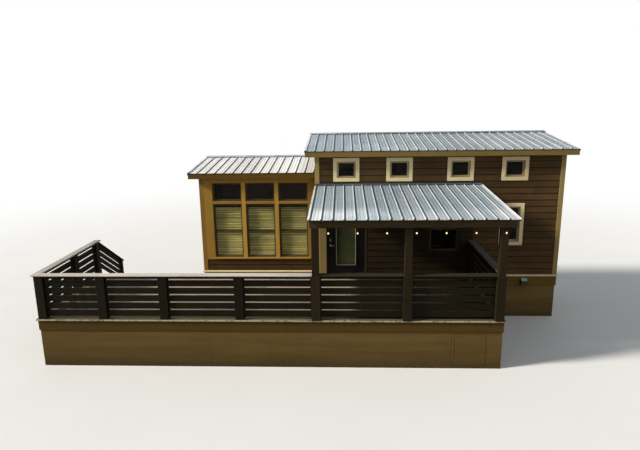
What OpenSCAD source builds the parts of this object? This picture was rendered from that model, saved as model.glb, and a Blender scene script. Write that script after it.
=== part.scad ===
// Tiny house with a glazed annex, a covered porch and a raised deck, all on closed skirts.
// Millimetres, Z up, X along the front, Y to the back. Real size.

/* [Main body] */
// Length of the main body
main_len = 6096; // [5600:10:7600]
// Depth of the main body
main_depth = 2200; // [2100:10:3000]
// Height of the house floor over the ground
floor_z = 1140; // [1110:5:1300]
// Thickness of the outer walls
wall_t = 110; // [90:5:160]
// Height of the loft floor surface over the ground
loft_z = 3400; // [3350:5:3450]
// Distance of the loft floor from the left corner
loft_x = 1700; // [1300:10:1900]
// Width of the corner boards
corner_w = 92; // [60:1:140]

/* [Annex] */
// Length of the annex beside the main body
annex_len = 3030; // [2700:10:3600]
// Distance of the annex front behind the main front
annex_setback = 340; // [250:10:500]
// Distance of the first annex window from the left corner
annex_left = 315; // [250:1:400]
// Distance of the last annex window from the main body
annex_right = 229; // [180:1:300]
// Width of the posts between the annex windows
annex_mull = 100; // [70:1:140]
// Height of the annex window sill over the house floor
annex_sill = 370; // [250:5:500]
// Height of the lower annex windows
annex_low_h = 1440; // [1200:5:1500]
// Height of the upper annex windows
annex_top_h = 480; // [350:5:500]
// Height of the bar between the lower and upper annex windows
annex_bar = 70; // [50:1:90]
// Height of the annex roof surface over its windows
annex_head = 275; // [270:1:330]
// Height of the passage from the annex to the main room
passage_h = 2060; // [1900:10:2100]

/* [Roofs] */
// Height of the main roof surface at the front eave
eave_z = 4337; // [4250:1:4600]
// Rise of the main roof for each metre of depth
main_pitch = 118; // [80:1:150]
// Rise of the annex roof for each metre of depth
annex_pitch = 106; // [80:1:115]
// Height of the porch roof surface at the wall
porch_top_z = 3469; // [3440:1:3480]
// Fall of the porch roof for each metre of depth
porch_pitch = 75; // [60:1:80]
// Reach of the main and annex eaves before their walls
eave_over = 193; // [120:1:220]
// Reach of the main and annex roofs beside their end walls
side_over = 260; // [150:1:300]
// Reach of the roofs behind the back wall
back_over = 100; // [60:1:200]
// Reach of the porch eave before its beam
porch_over = 137; // [80:1:200]
// Height of the wall flashing over the ribs of the porch roof
flash_h = 25; // [15:1:60]
// Reach of the wall flashing down the porch roof
flash_reach = 60; // [40:1:130]
// Distance between the roof ribs
rib_pitch = 228.6; // [200:0.1:305]
// Height of the roof ribs
rib_h = 19; // [12:1:30]
// Thickness of a roof frame under the metal
frame_t = 130; // [90:5:160]
// Height of the fascia boards
fascia_h = 140; // [100:5:170]
// Height of the porch beam under its roof
beam_h = 173; // [140:1:200]

/* [Deck] */
// Length of the deck along the main body
deck_right = 3962; // [3900:1:4200]
// Length of the deck to the left of the main body
deck_left = 5800; // [5200:1:6200]
// Depth of the deck before the main body
deck_depth = 2860; // [2500:10:3300]
// Height of the deck surface over the ground
deck_z = 1079; // [1000:1:1090]
// Reach of the deck edge boards over the skirts
ledge = 50; // [30:1:70]
// Thickness of the skirt panels
skirt_t = 40; // [25:1:60]
// Height of the band at the top of the skirts
band_h = 218; // [150:1:260]

/* [Railing] */
// Height of the rail cap over the deck
rail_h = 981; // [900:1:1100]
// Width of the rail posts
post_w = 184; // [140:1:200]
// Width of the rail cap
cap_w = 160; // [140:1:180]
// Thickness of the rail cap
cap_t = 30; // [20:1:40]
// Number of full boards in the railing
rail_rows = 5; // [4:1:5]
// Gap between the rail boards
rail_gap = 32; // [15:1:45]
// Distance between the porch posts
porch_bay = 1878; // [1700:1:1950]
// Distance between the rail posts before the annex
annex_bay = 1597; // [1400:1:1700]
// Width of the porch posts
porch_post = 150; // [120:1:156]
// Distance of the first bulb from the left corner
bulb_x = 386; // [300:1:450]
// Distance between the bulbs along the beam
bulb_step = 583; // [500:1:600]

/* [Steps] */
// Number of risers of the back steps
risers = 6; // [5:1:7]
// Depth of a tread
tread = 280; // [240:5:320]
// Width of the back steps
steps_w = 2500; // [1500:10:2550]

/* [Door] */
// Width of the door leaf
door_w = 914; // [800:1:960]
// Height of the door leaf
door_h = 2000; // [1900:1:2020]
// Distance of the door frame from the left corner
door_x = 256; // [220:1:400]
// Width of the door glass
lite_w = 560; // [400:1:620]
// Height of the door glass
lite_h = 1580; // [900:1:1640]
// Height of the door lever over the bottom of the leaf
lever_h = 730; // [600:5:1000]

/* [Windows] */
// Width of the high windows
high_w = 470; // [380:1:600]
// Height of the high windows
high_h = 410; // [330:1:430]
// Sill height of the high windows over the ground
high_z = 3653; // [3600:1:3680]
// Centre of the first high window from the left corner
high_x = 764; // [600:1:850]
// Distance between the first and second high window
high_step_a = 1316; // [1100:1:1380]
// Distance between the middle high windows
high_step_b = 1500; // [1300:1:1550]
// Distance between the third and fourth high window
high_step_c = 1325; // [1100:1:1380]
// Width of the side window
side_win_w = 411; // [350:1:500]
// Height of the side window
side_win_h = 900; // [700:1:950]
// Centre of the side window from the left corner
side_win_x = 4898; // [4700:1:5100]
// Width of the porch window
porch_win_w = 720; // [500:1:800]
// Height of the porch window
porch_win_h = 1140; // [800:1:1180]
// Centre of the porch window from the left corner
porch_win_x = 3232; // [3000:1:3300]
// Width of the window casings
casing = 89; // [70:1:95]
// Width of the flat board beside the door
door_board = 165; // [120:1:200]
// Distance of the wall outlet from the right end
vent_x = 800; // [500:5:1200]

/* [Hidden] */
trim = 22;
fit = 0.02;
pan = 8;
vent_w = 170;
ledger_h = 150;
rafter_h = 120;
boards_t = 25;
fascia_t = 20;
cap_lift = pan + rib_h;
door_gap = 5;
jamb = 35;
door_t = 45;
head_z = floor_z + 25 + door_h + door_gap + jamb;
upper_z = head_z;
win_head = floor_z + 1765;
pm = main_pitch / 1000;
pa = annex_pitch / 1000;
pp = porch_pitch / 1000;
am = atan(pm);
aa = atan(pa);
ap = atan(pp);
annex_y = annex_setback;
annex_win_w = (annex_len - annex_left - annex_right - 2 * annex_mull) / 3;
annex_first = -annex_len + annex_left + annex_win_w / 2;
annex_step = annex_win_w + annex_mull;
annex_z0 = floor_z + annex_sill;
annex_z1 = annex_z0 + annex_low_h + annex_bar + annex_top_h;
annex_eave_z = annex_z1 + annex_head;
annex_eave_y = annex_setback - 190;
back_y = main_depth + back_over;
front_y = -deck_depth;
porch_eave_y = front_y - ledge - porch_over;
porch_x0 = -30;
porch_x1 = deck_right + 163;
beam_y0 = front_y - ledge;
beam_y1 = beam_y0 + porch_post;
cap_z1 = deck_z + rail_h;
cap_z0 = cap_z1 - cap_t;
post_d = 120;
rail_y0 = front_y - 20;
rail_c = rail_y0 + post_d / 2;
p7 = deck_right - post_w / 2;
p6 = p7 - porch_bay;
p5 = p6 - porch_bay;
p4 = p5 - annex_bay;
p3 = p4 - annex_bay;
p1 = -deck_left + post_w / 2;
p2 = (p1 + p3) / 2;
side_c = -deck_left - 20 + post_d / 2;
right_c = deck_right + 20 - post_d / 2;
side_post_y = rail_c + annex_bay;
slot = (cap_z0 - deck_z - rail_gap * (rail_rows + 1) - 94) / rail_rows;
band_z1 = deck_z - 33;
sub_z = floor_z - 140;
riser = deck_z / risers;
mid_x = (main_len + side_over - deck_left - ledge) / 2;
mid_y = (porch_eave_y - (pan + rib_h) * sin(ap) + back_y + 6.3) / 2;

function main_z(y) = eave_z + (y + eave_over) * pm;
function main_top(y) = main_z(y) - pan / cos(am) - fit;
function main_under(y) = main_top(y) - frame_t - fit;
function annex_z(y) = annex_eave_z + (y - annex_eave_y) * pa;
function annex_top(y) = annex_z(y) - pan / cos(aa) - fit;
function annex_under(y) = annex_top(y) - frame_t - fit;
function porch_z(y) = porch_top_z + y * pp;
function porch_boards(y) = porch_z(y) - pan / cos(ap) - fit;
function porch_under(y) = porch_boards(y) - boards_t;

beam_z0 = porch_under(beam_y0) - beam_h;

module place() {
  translate([-mid_x, -mid_y, 0]) children();
}

// A box from one corner to the opposite one.
module box(a, b) {
  translate(a) cube([b[0] - a[0], b[1] - a[1], b[2] - a[2]]);
}

// A profile of Y and Z drawn out along X.
module along_x(x0, x1, pts) {
  translate([x0, 0, 0]) rotate([90, 0, 90]) linear_extrude(height = x1 - x0) polygon(pts);
}

// A band with a sloping top and bottom that runs up a roof.
module slope_slab(x0, x1, y0, y1, za, zb, t) {
  along_x(x0, x1, [[y0, za - t], [y1, zb - t], [y1, zb], [y0, za]]);
}

// Ribbed sheet metal laid up a slope, with ribs from the first edge on.
module ribbed(x0, x1, y0, y1, z0, ang, first) {
  n = floor((x1 - x0 - first - 12) / rib_pitch);
  len = (y1 - y0) / cos(ang);
  ribs = [for (i = [0 : n]) each [[first + i * rib_pitch - 22, pan],
    [first + i * rib_pitch - 9, pan + rib_h], [first + i * rib_pitch + 9, pan + rib_h],
    [first + i * rib_pitch + 22, pan]]];
  translate([x0, y0, z0 - pan / cos(ang)]) rotate([ang, 0, 0]) rotate([90, 0, 0])
    translate([0, 0, -len]) linear_extrude(height = len)
      polygon(concat([[0, 0], [0, pan]], ribs, [[x1 - x0, pan], [x1 - x0, 0]]));
}

// A rectangular ring in the wall plane, for frames and casings.
module ring(cx, z0, w, h, out, y0, y1) {
  difference() {
    box([cx - w / 2 - out, y0, z0 - out], [cx + w / 2 + out, y1, z0 + h + out]);
    box([cx - w / 2, y0 - 1, z0], [cx + w / 2, y1 + 1, z0 + h]);
  }
}

module hole(cx, z0, w, h, y0, y1) {
  box([cx - w / 2, y0, z0], [cx + w / 2, y1, z0 + h]);
}

high_list = [high_x, high_x + high_step_a, high_x + high_step_a + high_step_b,
  high_x + high_step_a + high_step_b + high_step_c];

module deck_skirt_front() {
  color("tan") difference() {
    box([-deck_left, front_y, 0], [deck_right, front_y + skirt_t, band_z1]);
    box([deck_right - 967, front_y - 1, 45], [deck_right - 322, front_y + skirt_t + 1, 766]);
  }
}

module deck_skirt_sides() {
  color("tan") {
    box([-deck_left, front_y + skirt_t, 0], [-deck_left + skirt_t, -skirt_t, band_z1]);
    box([deck_right - skirt_t, front_y + skirt_t, 0], [deck_right, -trim, band_z1]);
  }
}

module deck_skirt_back() {
  color("tan") {
    box([-deck_left, -skirt_t, 0], [-annex_len + skirt_t, 0, deck_z - 120]);
    box([-deck_left, -skirt_t, deck_z - 120], [-annex_len, 0, band_z1]);
    box([-annex_len, 0, 0], [-annex_len + skirt_t, annex_y, deck_z - 120]);
  }
}

module access_hatch() {
  color("tan") {
    box([deck_right - 964, front_y, 48], [deck_right - 325, front_y + skirt_t, 763]);
    box([deck_right - 997, front_y + skirt_t, 15], [deck_right - 292, front_y + skirt_t + 20, 796]);
  }
}

module house_skirt_front() {
  color("tan") {
    box([0, 0, 0], [main_len, 50, sub_z]);
    box([-annex_len, annex_y, 0], [0, annex_y + 50, sub_z]);
  }
}

module house_skirt_ends() {
  color("tan") {
    box([main_len - 50, 50, 0], [main_len, main_depth - 50, sub_z]);
    box([-annex_len, annex_y + 50, 0], [-annex_len + 50, main_depth - 50, sub_z]);
  }
}

module house_skirt_back() {
  color("tan") box([-annex_len, main_depth - 50, 0], [main_len, main_depth, sub_z]);
}

// Boards round the top of the skirts and the sloping drip ledge over them.
module skirt_bands() {
  color("tan") {
    // Deck band on the front and the left side.
    box([-deck_left - 18, front_y - 18, band_z1 - band_h], [deck_right + 18, front_y, band_z1]);
    box([-deck_left - 18, front_y, band_z1 - band_h], [-deck_left, 0, band_z1]);
    box([deck_right, front_y, band_z1 - band_h], [deck_right + 18, -trim, band_z1]);
    // House band right of the deck and round the end and the back.
    box([deck_right + 18, -trim, floor_z - 300], [main_len + trim, 0, floor_z - 38]);
    box([main_len, 0, floor_z - 300], [main_len + trim, main_depth, floor_z - 38]);
    box([-annex_len - trim, main_depth, floor_z - 300],
      [main_len + trim, main_depth + trim, floor_z - 38]);
    box([-annex_len - trim, annex_y, floor_z - 300], [-annex_len, main_depth, floor_z - 38]);
    // Drip ledge of the main front and the right end.
    along_x(0, main_len + 50, [[-50, floor_z - 38], [0, floor_z - 38], [0, floor_z], [-50, floor_z - 8]]);
    box([main_len, 0, floor_z - 38], [main_len + 50, main_depth, floor_z]);
    box([-annex_len - 50, main_depth, floor_z - 38], [main_len + 50, main_depth + 50, floor_z]);
    along_x(-annex_len - 50, 0, [[annex_y - 50, floor_z - 38], [annex_y, floor_z - 38],
      [annex_y, floor_z], [annex_y - 50, floor_z - 8]]);
    box([-annex_len - 50, annex_y, floor_z - 38], [-annex_len, main_depth, floor_z]);
  }
}

// Wall outlet with a sloping hood, open below.
module exhaust_vent() {
  x0 = main_len - vent_x - vent_w / 2;
  x1 = x0 + vent_w;
  color("gainsboro") difference() {
    along_x(x0, x1, [[-trim, floor_z - 267], [-trim, floor_z - 80],
      [-trim - 30, floor_z - 80], [-trim - 100, floor_z - 150], [-trim - 100, floor_z - 267]]);
    along_x(x0 + 8, x1 - 8, [[-trim - 8, floor_z - 268], [-trim - 8, floor_z - 100],
      [-trim - 28, floor_z - 100], [-trim - 92, floor_z - 156], [-trim - 92, floor_z - 268]]);
  }
}

module deck_floor() {
  color("dimgray") {
    box([-deck_left + skirt_t, front_y + skirt_t, deck_z - 120], [deck_right - skirt_t, -skirt_t, band_z1]);
    box([-deck_left + 90, front_y + 90, band_z1], [deck_right - 90, -skirt_t, deck_z]);
    box([-annex_len, -skirt_t, deck_z - 120], [0, 0, deck_z]);
    box([-annex_len, 0, deck_z - 120], [0, annex_y, deck_z]);
    box([0, -skirt_t, deck_z - 120], [deck_right - skirt_t, 0, deck_z]);
  }
}

// Edge boards that cap the skirts and carry the rail.
module deck_edge() {
  color("silver") difference() {
    union() {
      box([-deck_left - ledge, front_y - ledge, band_z1], [deck_right + ledge, -trim, deck_z]);
      box([-deck_left - ledge, -trim - 1, band_z1], [-annex_len - trim, 40, deck_z]);
    }
    box([-deck_left + 90, front_y + 90, band_z1 - 1], [deck_right - 90, -skirt_t, deck_z + 1]);
    box([-annex_len - trim, -skirt_t - 1, band_z1 - 1], [deck_right - skirt_t, 1, deck_z + 1]);
  }
}

module house_floor() {
  color("burlywood") {
    box([0, 0, sub_z], [main_len, main_depth, floor_z]);
    box([-annex_len, annex_y, sub_z], [0, main_depth, floor_z]);
  }
}

module loft_floor() {
  color("burlywood") box([loft_x, wall_t, loft_z - 110], [main_len - wall_t, main_depth - wall_t, loft_z]);
}

module front_wall_left() {
  color("saddlebrown") box([0, 0, floor_z], [door_x, wall_t, upper_z]);
}

module front_wall_right() {
  color("saddlebrown") difference() {
    box([door_x + 2 * jamb + 2 * door_gap + door_w, 0, floor_z], [main_len, wall_t, upper_z]);
    hole(side_win_x, win_head - side_win_h, side_win_w, side_win_h, -1, wall_t + 1);
    hole(porch_win_x, win_head - porch_win_h, porch_win_w, porch_win_h, -1, wall_t + 1);
  }
}

module front_wall_upper() {
  color("saddlebrown") difference() {
    along_x(0, main_len, [[0, upper_z], [wall_t, upper_z], [wall_t, main_under(wall_t)],
      [0, main_under(0)]]);
    for (x = high_list) hole(x, high_z, high_w, high_h, -1, wall_t + 1);
  }
}

// End wall between the annex and the main room, with the wide passage.
module left_wall() {
  color("saddlebrown") difference() {
    along_x(0, wall_t, [[wall_t, floor_z], [main_depth - wall_t, floor_z],
      [main_depth - wall_t, main_under(main_depth - wall_t)], [wall_t, main_under(wall_t)]]);
    box([-1, annex_y + wall_t + 60, floor_z - 1],
      [wall_t + 1, main_depth - wall_t - 160, floor_z + passage_h]);
  }
}

module right_wall() {
  color("saddlebrown") along_x(main_len - wall_t, main_len, [[wall_t, floor_z],
    [main_depth - wall_t, floor_z], [main_depth - wall_t, main_under(main_depth - wall_t)],
    [wall_t, main_under(wall_t)]]);
}

module back_wall() {
  color("saddlebrown") along_x(0, main_len, [[main_depth - wall_t, floor_z], [main_depth, floor_z],
    [main_depth, main_under(main_depth)], [main_depth - wall_t, main_under(main_depth - wall_t)]]);
}

module annex_front_wall() {
  color("peru") difference() {
    along_x(-annex_len, 0, [[annex_y, floor_z], [annex_y + wall_t, floor_z],
      [annex_y + wall_t, annex_under(annex_y + wall_t)], [annex_y, annex_under(annex_y)]]);
    for (i = [0 : 2]) hole(annex_first + i * annex_step, annex_z0, annex_win_w,
      annex_z1 - annex_z0, annex_y - 1, annex_y + wall_t + 1);
  }
}

module annex_left_wall() {
  color("peru") along_x(-annex_len, -annex_len + wall_t, [[annex_y + wall_t, floor_z],
    [main_depth - wall_t, floor_z], [main_depth - wall_t, annex_under(main_depth - wall_t)],
    [annex_y + wall_t, annex_under(annex_y + wall_t)]]);
}

module annex_back_wall() {
  color("peru") along_x(-annex_len, 0, [[main_depth - wall_t, floor_z], [main_depth, floor_z],
    [main_depth, annex_under(main_depth)], [main_depth - wall_t, annex_under(main_depth - wall_t)]]);
}

module main_roof() {
  color("lightsteelblue")
    ribbed(-side_over, main_len + side_over, -eave_over, back_y, eave_z, am, 24);
}

module annex_roof() {
  color("lightsteelblue")
    ribbed(-annex_len - side_over, 0, annex_eave_y, back_y, annex_eave_z, aa, 24);
}

module porch_roof() {
  color("lightsteelblue")
    ribbed(porch_x0, porch_x1, porch_eave_y, 0, porch_z(porch_eave_y), ap, 49);
}

module main_roof_frame() {
  y0 = -eave_over + 10 + fascia_t;
  y1 = back_y - 10 - fascia_t;
  color("burlywood") slope_slab(-side_over + 10 + fascia_t, main_len + side_over - 10 - fascia_t,
    y0, y1, main_top(y0), main_top(y1), frame_t);
}

module annex_roof_frame() {
  y0 = annex_eave_y + 10 + fascia_t;
  y1 = back_y - 10 - fascia_t;
  color("burlywood") slope_slab(-annex_len - side_over + 10 + fascia_t, 0,
    y0, y1, annex_top(y0), annex_top(y1), frame_t);
}

// Roof boards, rafters and the ledger on the wall, in one frame.
module porch_roof_frame() {
  y0 = porch_eave_y + 12;
  n = 7;
  step = (porch_x1 - porch_x0 - 100) / n;
  color("saddlebrown") {
    slope_slab(porch_x0 + 10, porch_x1 - 10, y0, 0, porch_boards(y0), porch_boards(0), boards_t);
    for (i = [0 : n]) slope_slab(porch_x0 + 30 + i * step, porch_x0 + 70 + i * step,
      beam_y1 + fit, -38, porch_under(beam_y1 + fit) + 5, porch_under(-38) + 5, rafter_h + 5);
    slope_slab(porch_x0 + 10, porch_x1 - 10, -38, 0, porch_under(-38) + 5, porch_under(0) + 5,
      ledger_h + 5);
  }
}

// Bent sheet caps: on the top edges of the two roofs and along the wall over the porch.
module roof_caps() {
  color("silver") {
    edge_cap(-side_over, main_len + side_over, main_z(back_y), am);
    edge_cap(-annex_len - side_over, 0, annex_z(back_y), aa);
    translate([0, 0, porch_top_z + rib_h / cos(ap) + fit]) along_x(porch_x0, porch_x1,
      [[-flash_reach, -flash_reach * pp], [0, 0], [0, flash_h], [-5, flash_h], [-5, 5],
      [-flash_reach, 5 - flash_reach * pp]]);
  }
}

module edge_cap(x0, x1, z, ang) {
  t = tan(ang);
  translate([0, back_y, z + rib_h / cos(ang) + fit]) along_x(x0, x1, [[-200, -200 * t], [0.3, 0.3 * t],
    [0.3, -110], [6.3, -110], [6.3, 6], [-200, 6 - 200 * t]]);
}

// Front, back and sloping end boards of the main roof and the annex roof.
module fascia_boards() {
  color("tan") {
    fascia_set(-side_over + 10, main_len + side_over - 10, -eave_over + 10, back_y - 10,
      main_top(-eave_over + 10), main_top(back_y - 10));
    fascia_set(-annex_len - side_over + 10, 0, annex_eave_y + 10, back_y - 10,
      annex_top(annex_eave_y + 10), annex_top(back_y - 10), 0);
  }
}

module fascia_set(x0, x1, y0, y1, za, zb, right = 1) {
  box([x0, y0, za - fascia_h], [x1, y0 + fascia_t, za]);
  box([x0, y1 - fascia_t, zb - fascia_h], [x1, y1, zb - 3]);
  slope_slab(x0, x0 + fascia_t, y0 + fascia_t, y1 - fascia_t, za, zb - 6, fascia_h);
  if (right == 1)
    slope_slab(x1 - fascia_t, x1, y0 + fascia_t, y1 - fascia_t, za, zb - 6, fascia_h);
}

module porch_beam() {
  color("darkslategray") along_x(0, porch_x1 - 18, [[beam_y0, beam_z0], [beam_y1, beam_z0],
    [beam_y1, porch_under(beam_y1) - fit], [beam_y0, porch_under(beam_y0) - fit]]);
}

// Square posts with a wider cladding up to the rail cap.
module porch_posts() {
  color("darkslategray") for (x = [p5, p6, p7]) {
    box([x - porch_post / 2, beam_y0, deck_z], [x + porch_post / 2, beam_y1, beam_z0]);
    box([x - post_w / 2, rail_y0 - 22, deck_z], [x + post_w / 2, beam_y1, cap_z0]);
  }
}

module door_frame() {
  x0 = door_x;
  x1 = door_x + 2 * jamb + 2 * door_gap + door_w;
  color("black") {
    box([x0, -6, floor_z + 20], [x0 + jamb, wall_t, head_z]);
    box([x1 - jamb, -6, floor_z + 20], [x1, wall_t, head_z]);
    box([x0, -6, head_z - jamb], [x1, wall_t, head_z]);
    box([x0, -6, floor_z], [x1, wall_t, floor_z + 20]);
    box([x0 + jamb, 34, floor_z + 20], [x0 + jamb + 12, 54, head_z - jamb]);
    box([x1 - jamb - 12, 34, floor_z + 20], [x1 - jamb, 54, head_z - jamb]);
    box([x0 + jamb, 34, head_z - jamb - 12], [x1 - jamb, 54, head_z - jamb]);
    box([x1 - 4, -18, floor_z], [x1 + 36, 0, head_z + 36]);
    box([x0 - 4, -18, head_z - 4], [x1, 0, head_z + 36]);
  }
}

// Frame half of the three hinges: pin, outer knuckles and leaf on the jamb.
module door_hinges() {
  color("silver") for (z = hinge_list) {
    translate([hinge_x, hinge_y, z - 50]) cylinder(r = 4, h = 100, $fn = 24);
    for (k = [z - 50, z + 17]) {
      translate([hinge_x, hinge_y, k]) cylinder(r = 7, h = 33, $fn = 24);
      box([hinge_x, hinge_y - 10, k], [hinge_x + 30, hinge_y - 6, k + 33]);
    }
  }
}

leaf_x0 = door_x + jamb + door_gap;
leaf_x1 = leaf_x0 + door_w;
leaf_z0 = floor_z + 25;
hinge_x = leaf_x1 + door_gap / 2;
hinge_y = wall_t + 10;
hinge_list = [leaf_z0 + 200, leaf_z0 + door_h / 2, leaf_z0 + door_h - 200];
lite_x = (leaf_x0 + leaf_x1) / 2;
lite_z = leaf_z0 + 220;
leaf_y0 = wall_t - door_t;

module entry_door() {
  color("black") {
    difference() {
      box([leaf_x0, leaf_y0, leaf_z0], [leaf_x1, wall_t, leaf_z0 + door_h]);
      hole(lite_x, lite_z, lite_w, lite_h, leaf_y0 - 1, wall_t + 1);
    }
    for (z = hinge_list) {
      difference() {
        union() {
          translate([hinge_x, hinge_y, z - 16]) cylinder(r = 7, h = 32, $fn = 24);
          box([hinge_x - 40, wall_t, z - 16], [hinge_x - 3, hinge_y - 4, z + 16]);
        }
        translate([hinge_x, hinge_y, z - 17]) cylinder(r = 4.3, h = 34, $fn = 24);
      }
    }
  }
}

module door_lite() {
  color("gainsboro") {
    ring(lite_x, lite_z + 12, lite_w - 24, lite_h - 24, 34, leaf_y0 - 9, leaf_y0);
    ring(lite_x, lite_z + 12, lite_w - 24, lite_h - 24, 34, wall_t, wall_t + 9);
    ring(lite_x, lite_z + 12, lite_w - 24, lite_h - 24, 12, leaf_y0, leaf_y0 + 10);
  }
}

module door_glass() {
  color("lightblue", 0.5) hole(lite_x, lite_z, lite_w, lite_h, leaf_y0 + 10, leaf_y0 + 16);
}

module door_blind() {
  color("white") hole(lite_x, lite_z, lite_w, lite_h, leaf_y0 + 22, leaf_y0 + 32);
}

// Key lock above and lever handle below, on both faces of the leaf.
module door_handle() {
  hx = leaf_x0 + 58;
  hz = leaf_z0 + lever_h;
  color("silver") for (s = [0, 1]) {
    y = s == 0 ? leaf_y0 : wall_t;
    d = s == 0 ? -1 : 1;
    translate([hx, y, hz]) rotate([-90 * d, 0, 0]) cylinder(r = 30, h = 10, $fn = 32);
    translate([hx, y, hz]) rotate([-90 * d, 0, 0]) cylinder(r = 10, h = 52, $fn = 24);
    translate([hx, y + d * 46, hz]) rotate([0, 90, 0]) cylinder(r = 9, h = 110, $fn = 24);
    translate([hx, y, hz + 150]) rotate([-90 * d, 0, 0]) cylinder(r = 30, h = 22, $fn = 32);
  }
}

// A frame with two hung sashes that meet at a rail.
module hung_frame(x, z0, w, h, y0) {
  ring(x, z0 + 45, w - 90, h - 90, 45, y0 + 20, y0 + 80);
  box([x - w / 2 + 45, y0 + 28, z0 + h / 2 - 20], [x + w / 2 - 45, y0 + 72, z0 + h / 2 + 20]);
}

module hung_glass(x, z0, w, h, y0) {
  box([x - w / 2 + 45, y0 + 45, z0 + 45], [x + w / 2 - 45, y0 + 51, z0 + h / 2 - 20]);
  box([x - w / 2 + 45, y0 + 45, z0 + h / 2 + 20], [x + w / 2 - 45, y0 + 51, z0 + h - 45]);
}

// Each annex bay is a hung window, a cross bar and a fixed light over it.
module window_frames() {
  color("dimgray") {
    for (x = high_list) ring(x, high_z + 45, high_w - 90, high_h - 90, 45, 20, 80);
    hung_frame(side_win_x, win_head - side_win_h, side_win_w, side_win_h, 0);
    hung_frame(porch_win_x, win_head - porch_win_h, porch_win_w, porch_win_h, 0);
    for (i = [0 : 2]) {
      x = annex_first + i * annex_step;
      hung_frame(x, annex_z0, annex_win_w, annex_low_h, annex_y);
      box([x - annex_win_w / 2, annex_y + 10, annex_z0 + annex_low_h],
        [x + annex_win_w / 2, annex_y + 90, annex_z0 + annex_low_h + annex_bar]);
      ring(x, annex_z0 + annex_low_h + annex_bar + 40, annex_win_w - 80, annex_top_h - 80, 40,
        annex_y + 20, annex_y + 80);
    }
  }
}

module window_glass() {
  color("lightblue", 0.5) {
    for (x = high_list) hole(x, high_z + 45, high_w - 90, high_h - 90, 45, 51);
    hung_glass(side_win_x, win_head - side_win_h, side_win_w, side_win_h, 0);
    hung_glass(porch_win_x, win_head - porch_win_h, porch_win_w, porch_win_h, 0);
    for (i = [0 : 2]) {
      x = annex_first + i * annex_step;
      hung_glass(x, annex_z0, annex_win_w, annex_low_h, annex_y);
      hole(x, annex_z0 + annex_low_h + annex_bar + 40, annex_win_w - 80, annex_top_h - 80,
        annex_y + 45, annex_y + 51);
    }
  }
}

module annex_blinds() {
  color("white") for (i = [0 : 2]) {
    x = annex_first + i * annex_step;
    box([x - annex_win_w / 2 + 25, annex_y + 80, annex_z0 + 25],
      [x + annex_win_w / 2 - 25, annex_y + 104, annex_z0 + annex_low_h - 5]);
  }
}

module window_casings() {
  color("tan") {
    for (x = high_list) ring(x, high_z, high_w, high_h, casing, -trim, 0);
    ring(side_win_x, win_head - side_win_h, side_win_w, side_win_h, casing, -trim, 0);
    ring(porch_win_x, win_head - porch_win_h, porch_win_w, porch_win_h, casing, -trim, 0);
    annex_surround();
  }
}

// One flat surround for the three annex bays, with its sill.
module annex_surround() {
  x0 = annex_first - annex_win_w / 2;
  x1 = annex_first + 2 * annex_step + annex_win_w / 2;
  color("tan") {
    difference() {
      box([-annex_len + corner_w, annex_y - trim, annex_z0 - 60], [-trim, annex_y, annex_z1 + 110]);
      for (i = [0 : 2]) {
        x = annex_first + i * annex_step;
        hole(x, annex_z0, annex_win_w, annex_low_h, annex_y - trim - 1, annex_y + 1);
        hole(x, annex_z0 + annex_low_h + annex_bar, annex_win_w, annex_top_h,
          annex_y - trim - 1, annex_y + 1);
      }
    }
    box([x0 - 40, annex_y - trim - 26, annex_z0 - 38], [x1 + 40, annex_y - trim, annex_z0]);
  }
}

// Flat boards on the outer corners and the wide board beside the door.
module corner_boards() {
  color("tan") {
    box([-trim, -trim, floor_z], [corner_w, 0, porch_under(-38) - ledger_h - fit]);
    box([-trim, -trim, porch_top_z + rib_h / cos(ap) + flash_h + 2 * fit], [corner_w, 0, main_under(-trim)]);
    along_x(-trim, 0, [[0, floor_z], [corner_w, floor_z], [corner_w, main_under(corner_w)],
      [0, main_under(0)]]);
    box([door_x - 4 - door_board, -trim, floor_z], [door_x - 4, 0, upper_z]);
    box([main_len - corner_w, -trim, floor_z], [main_len + trim, 0, main_under(-trim)]);
    along_x(main_len, main_len + trim, [[0, floor_z], [corner_w, floor_z],
      [corner_w, main_under(corner_w)], [0, main_under(0)]]);
    box([main_len - corner_w, main_depth, floor_z], [main_len + trim, main_depth + trim,
      main_under(main_depth)]);
    along_x(main_len, main_len + trim, [[main_depth - corner_w, floor_z], [main_depth, floor_z],
      [main_depth, main_under(main_depth)], [main_depth - corner_w, main_under(main_depth - corner_w)]]);
    box([-annex_len - trim, annex_y - trim, floor_z], [-annex_len + corner_w, annex_y,
      annex_under(annex_y - trim)]);
    along_x(-annex_len - trim, -annex_len, [[annex_y, floor_z], [annex_y + corner_w, floor_z],
      [annex_y + corner_w, annex_under(annex_y + corner_w)], [annex_y, annex_under(annex_y)]]);
    box([-annex_len - trim, main_depth, floor_z], [-annex_len + corner_w, main_depth + trim,
      annex_under(main_depth)]);
    along_x(-annex_len - trim, -annex_len, [[main_depth - corner_w, floor_z], [main_depth, floor_z],
      [main_depth, annex_under(main_depth)], [main_depth - corner_w, annex_under(main_depth - corner_w)]]);
  }
}

module rail_posts() {
  color("dimgray") {
    for (x = [p1, p2, p3, p4])
      box([x - post_w / 2, rail_y0, deck_z], [x + post_w / 2, rail_y0 + post_d, cap_z0]);
    for (y = [side_post_y, -post_w / 2])
      box([side_c - post_d / 2, y - post_w / 2, deck_z], [side_c + post_d / 2, y + post_w / 2, cap_z0]);
    box([right_c - post_d / 2, -post_w / 2 - trim, deck_z], [right_c + post_d / 2, -ledge, cap_z0]);
  }
}

module rows(z0) {
  for (i = [0 : rail_rows - 1]) translate([0, 0, z0 + rail_gap + 26 + i * (slot + rail_gap)]) children();
}

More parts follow.
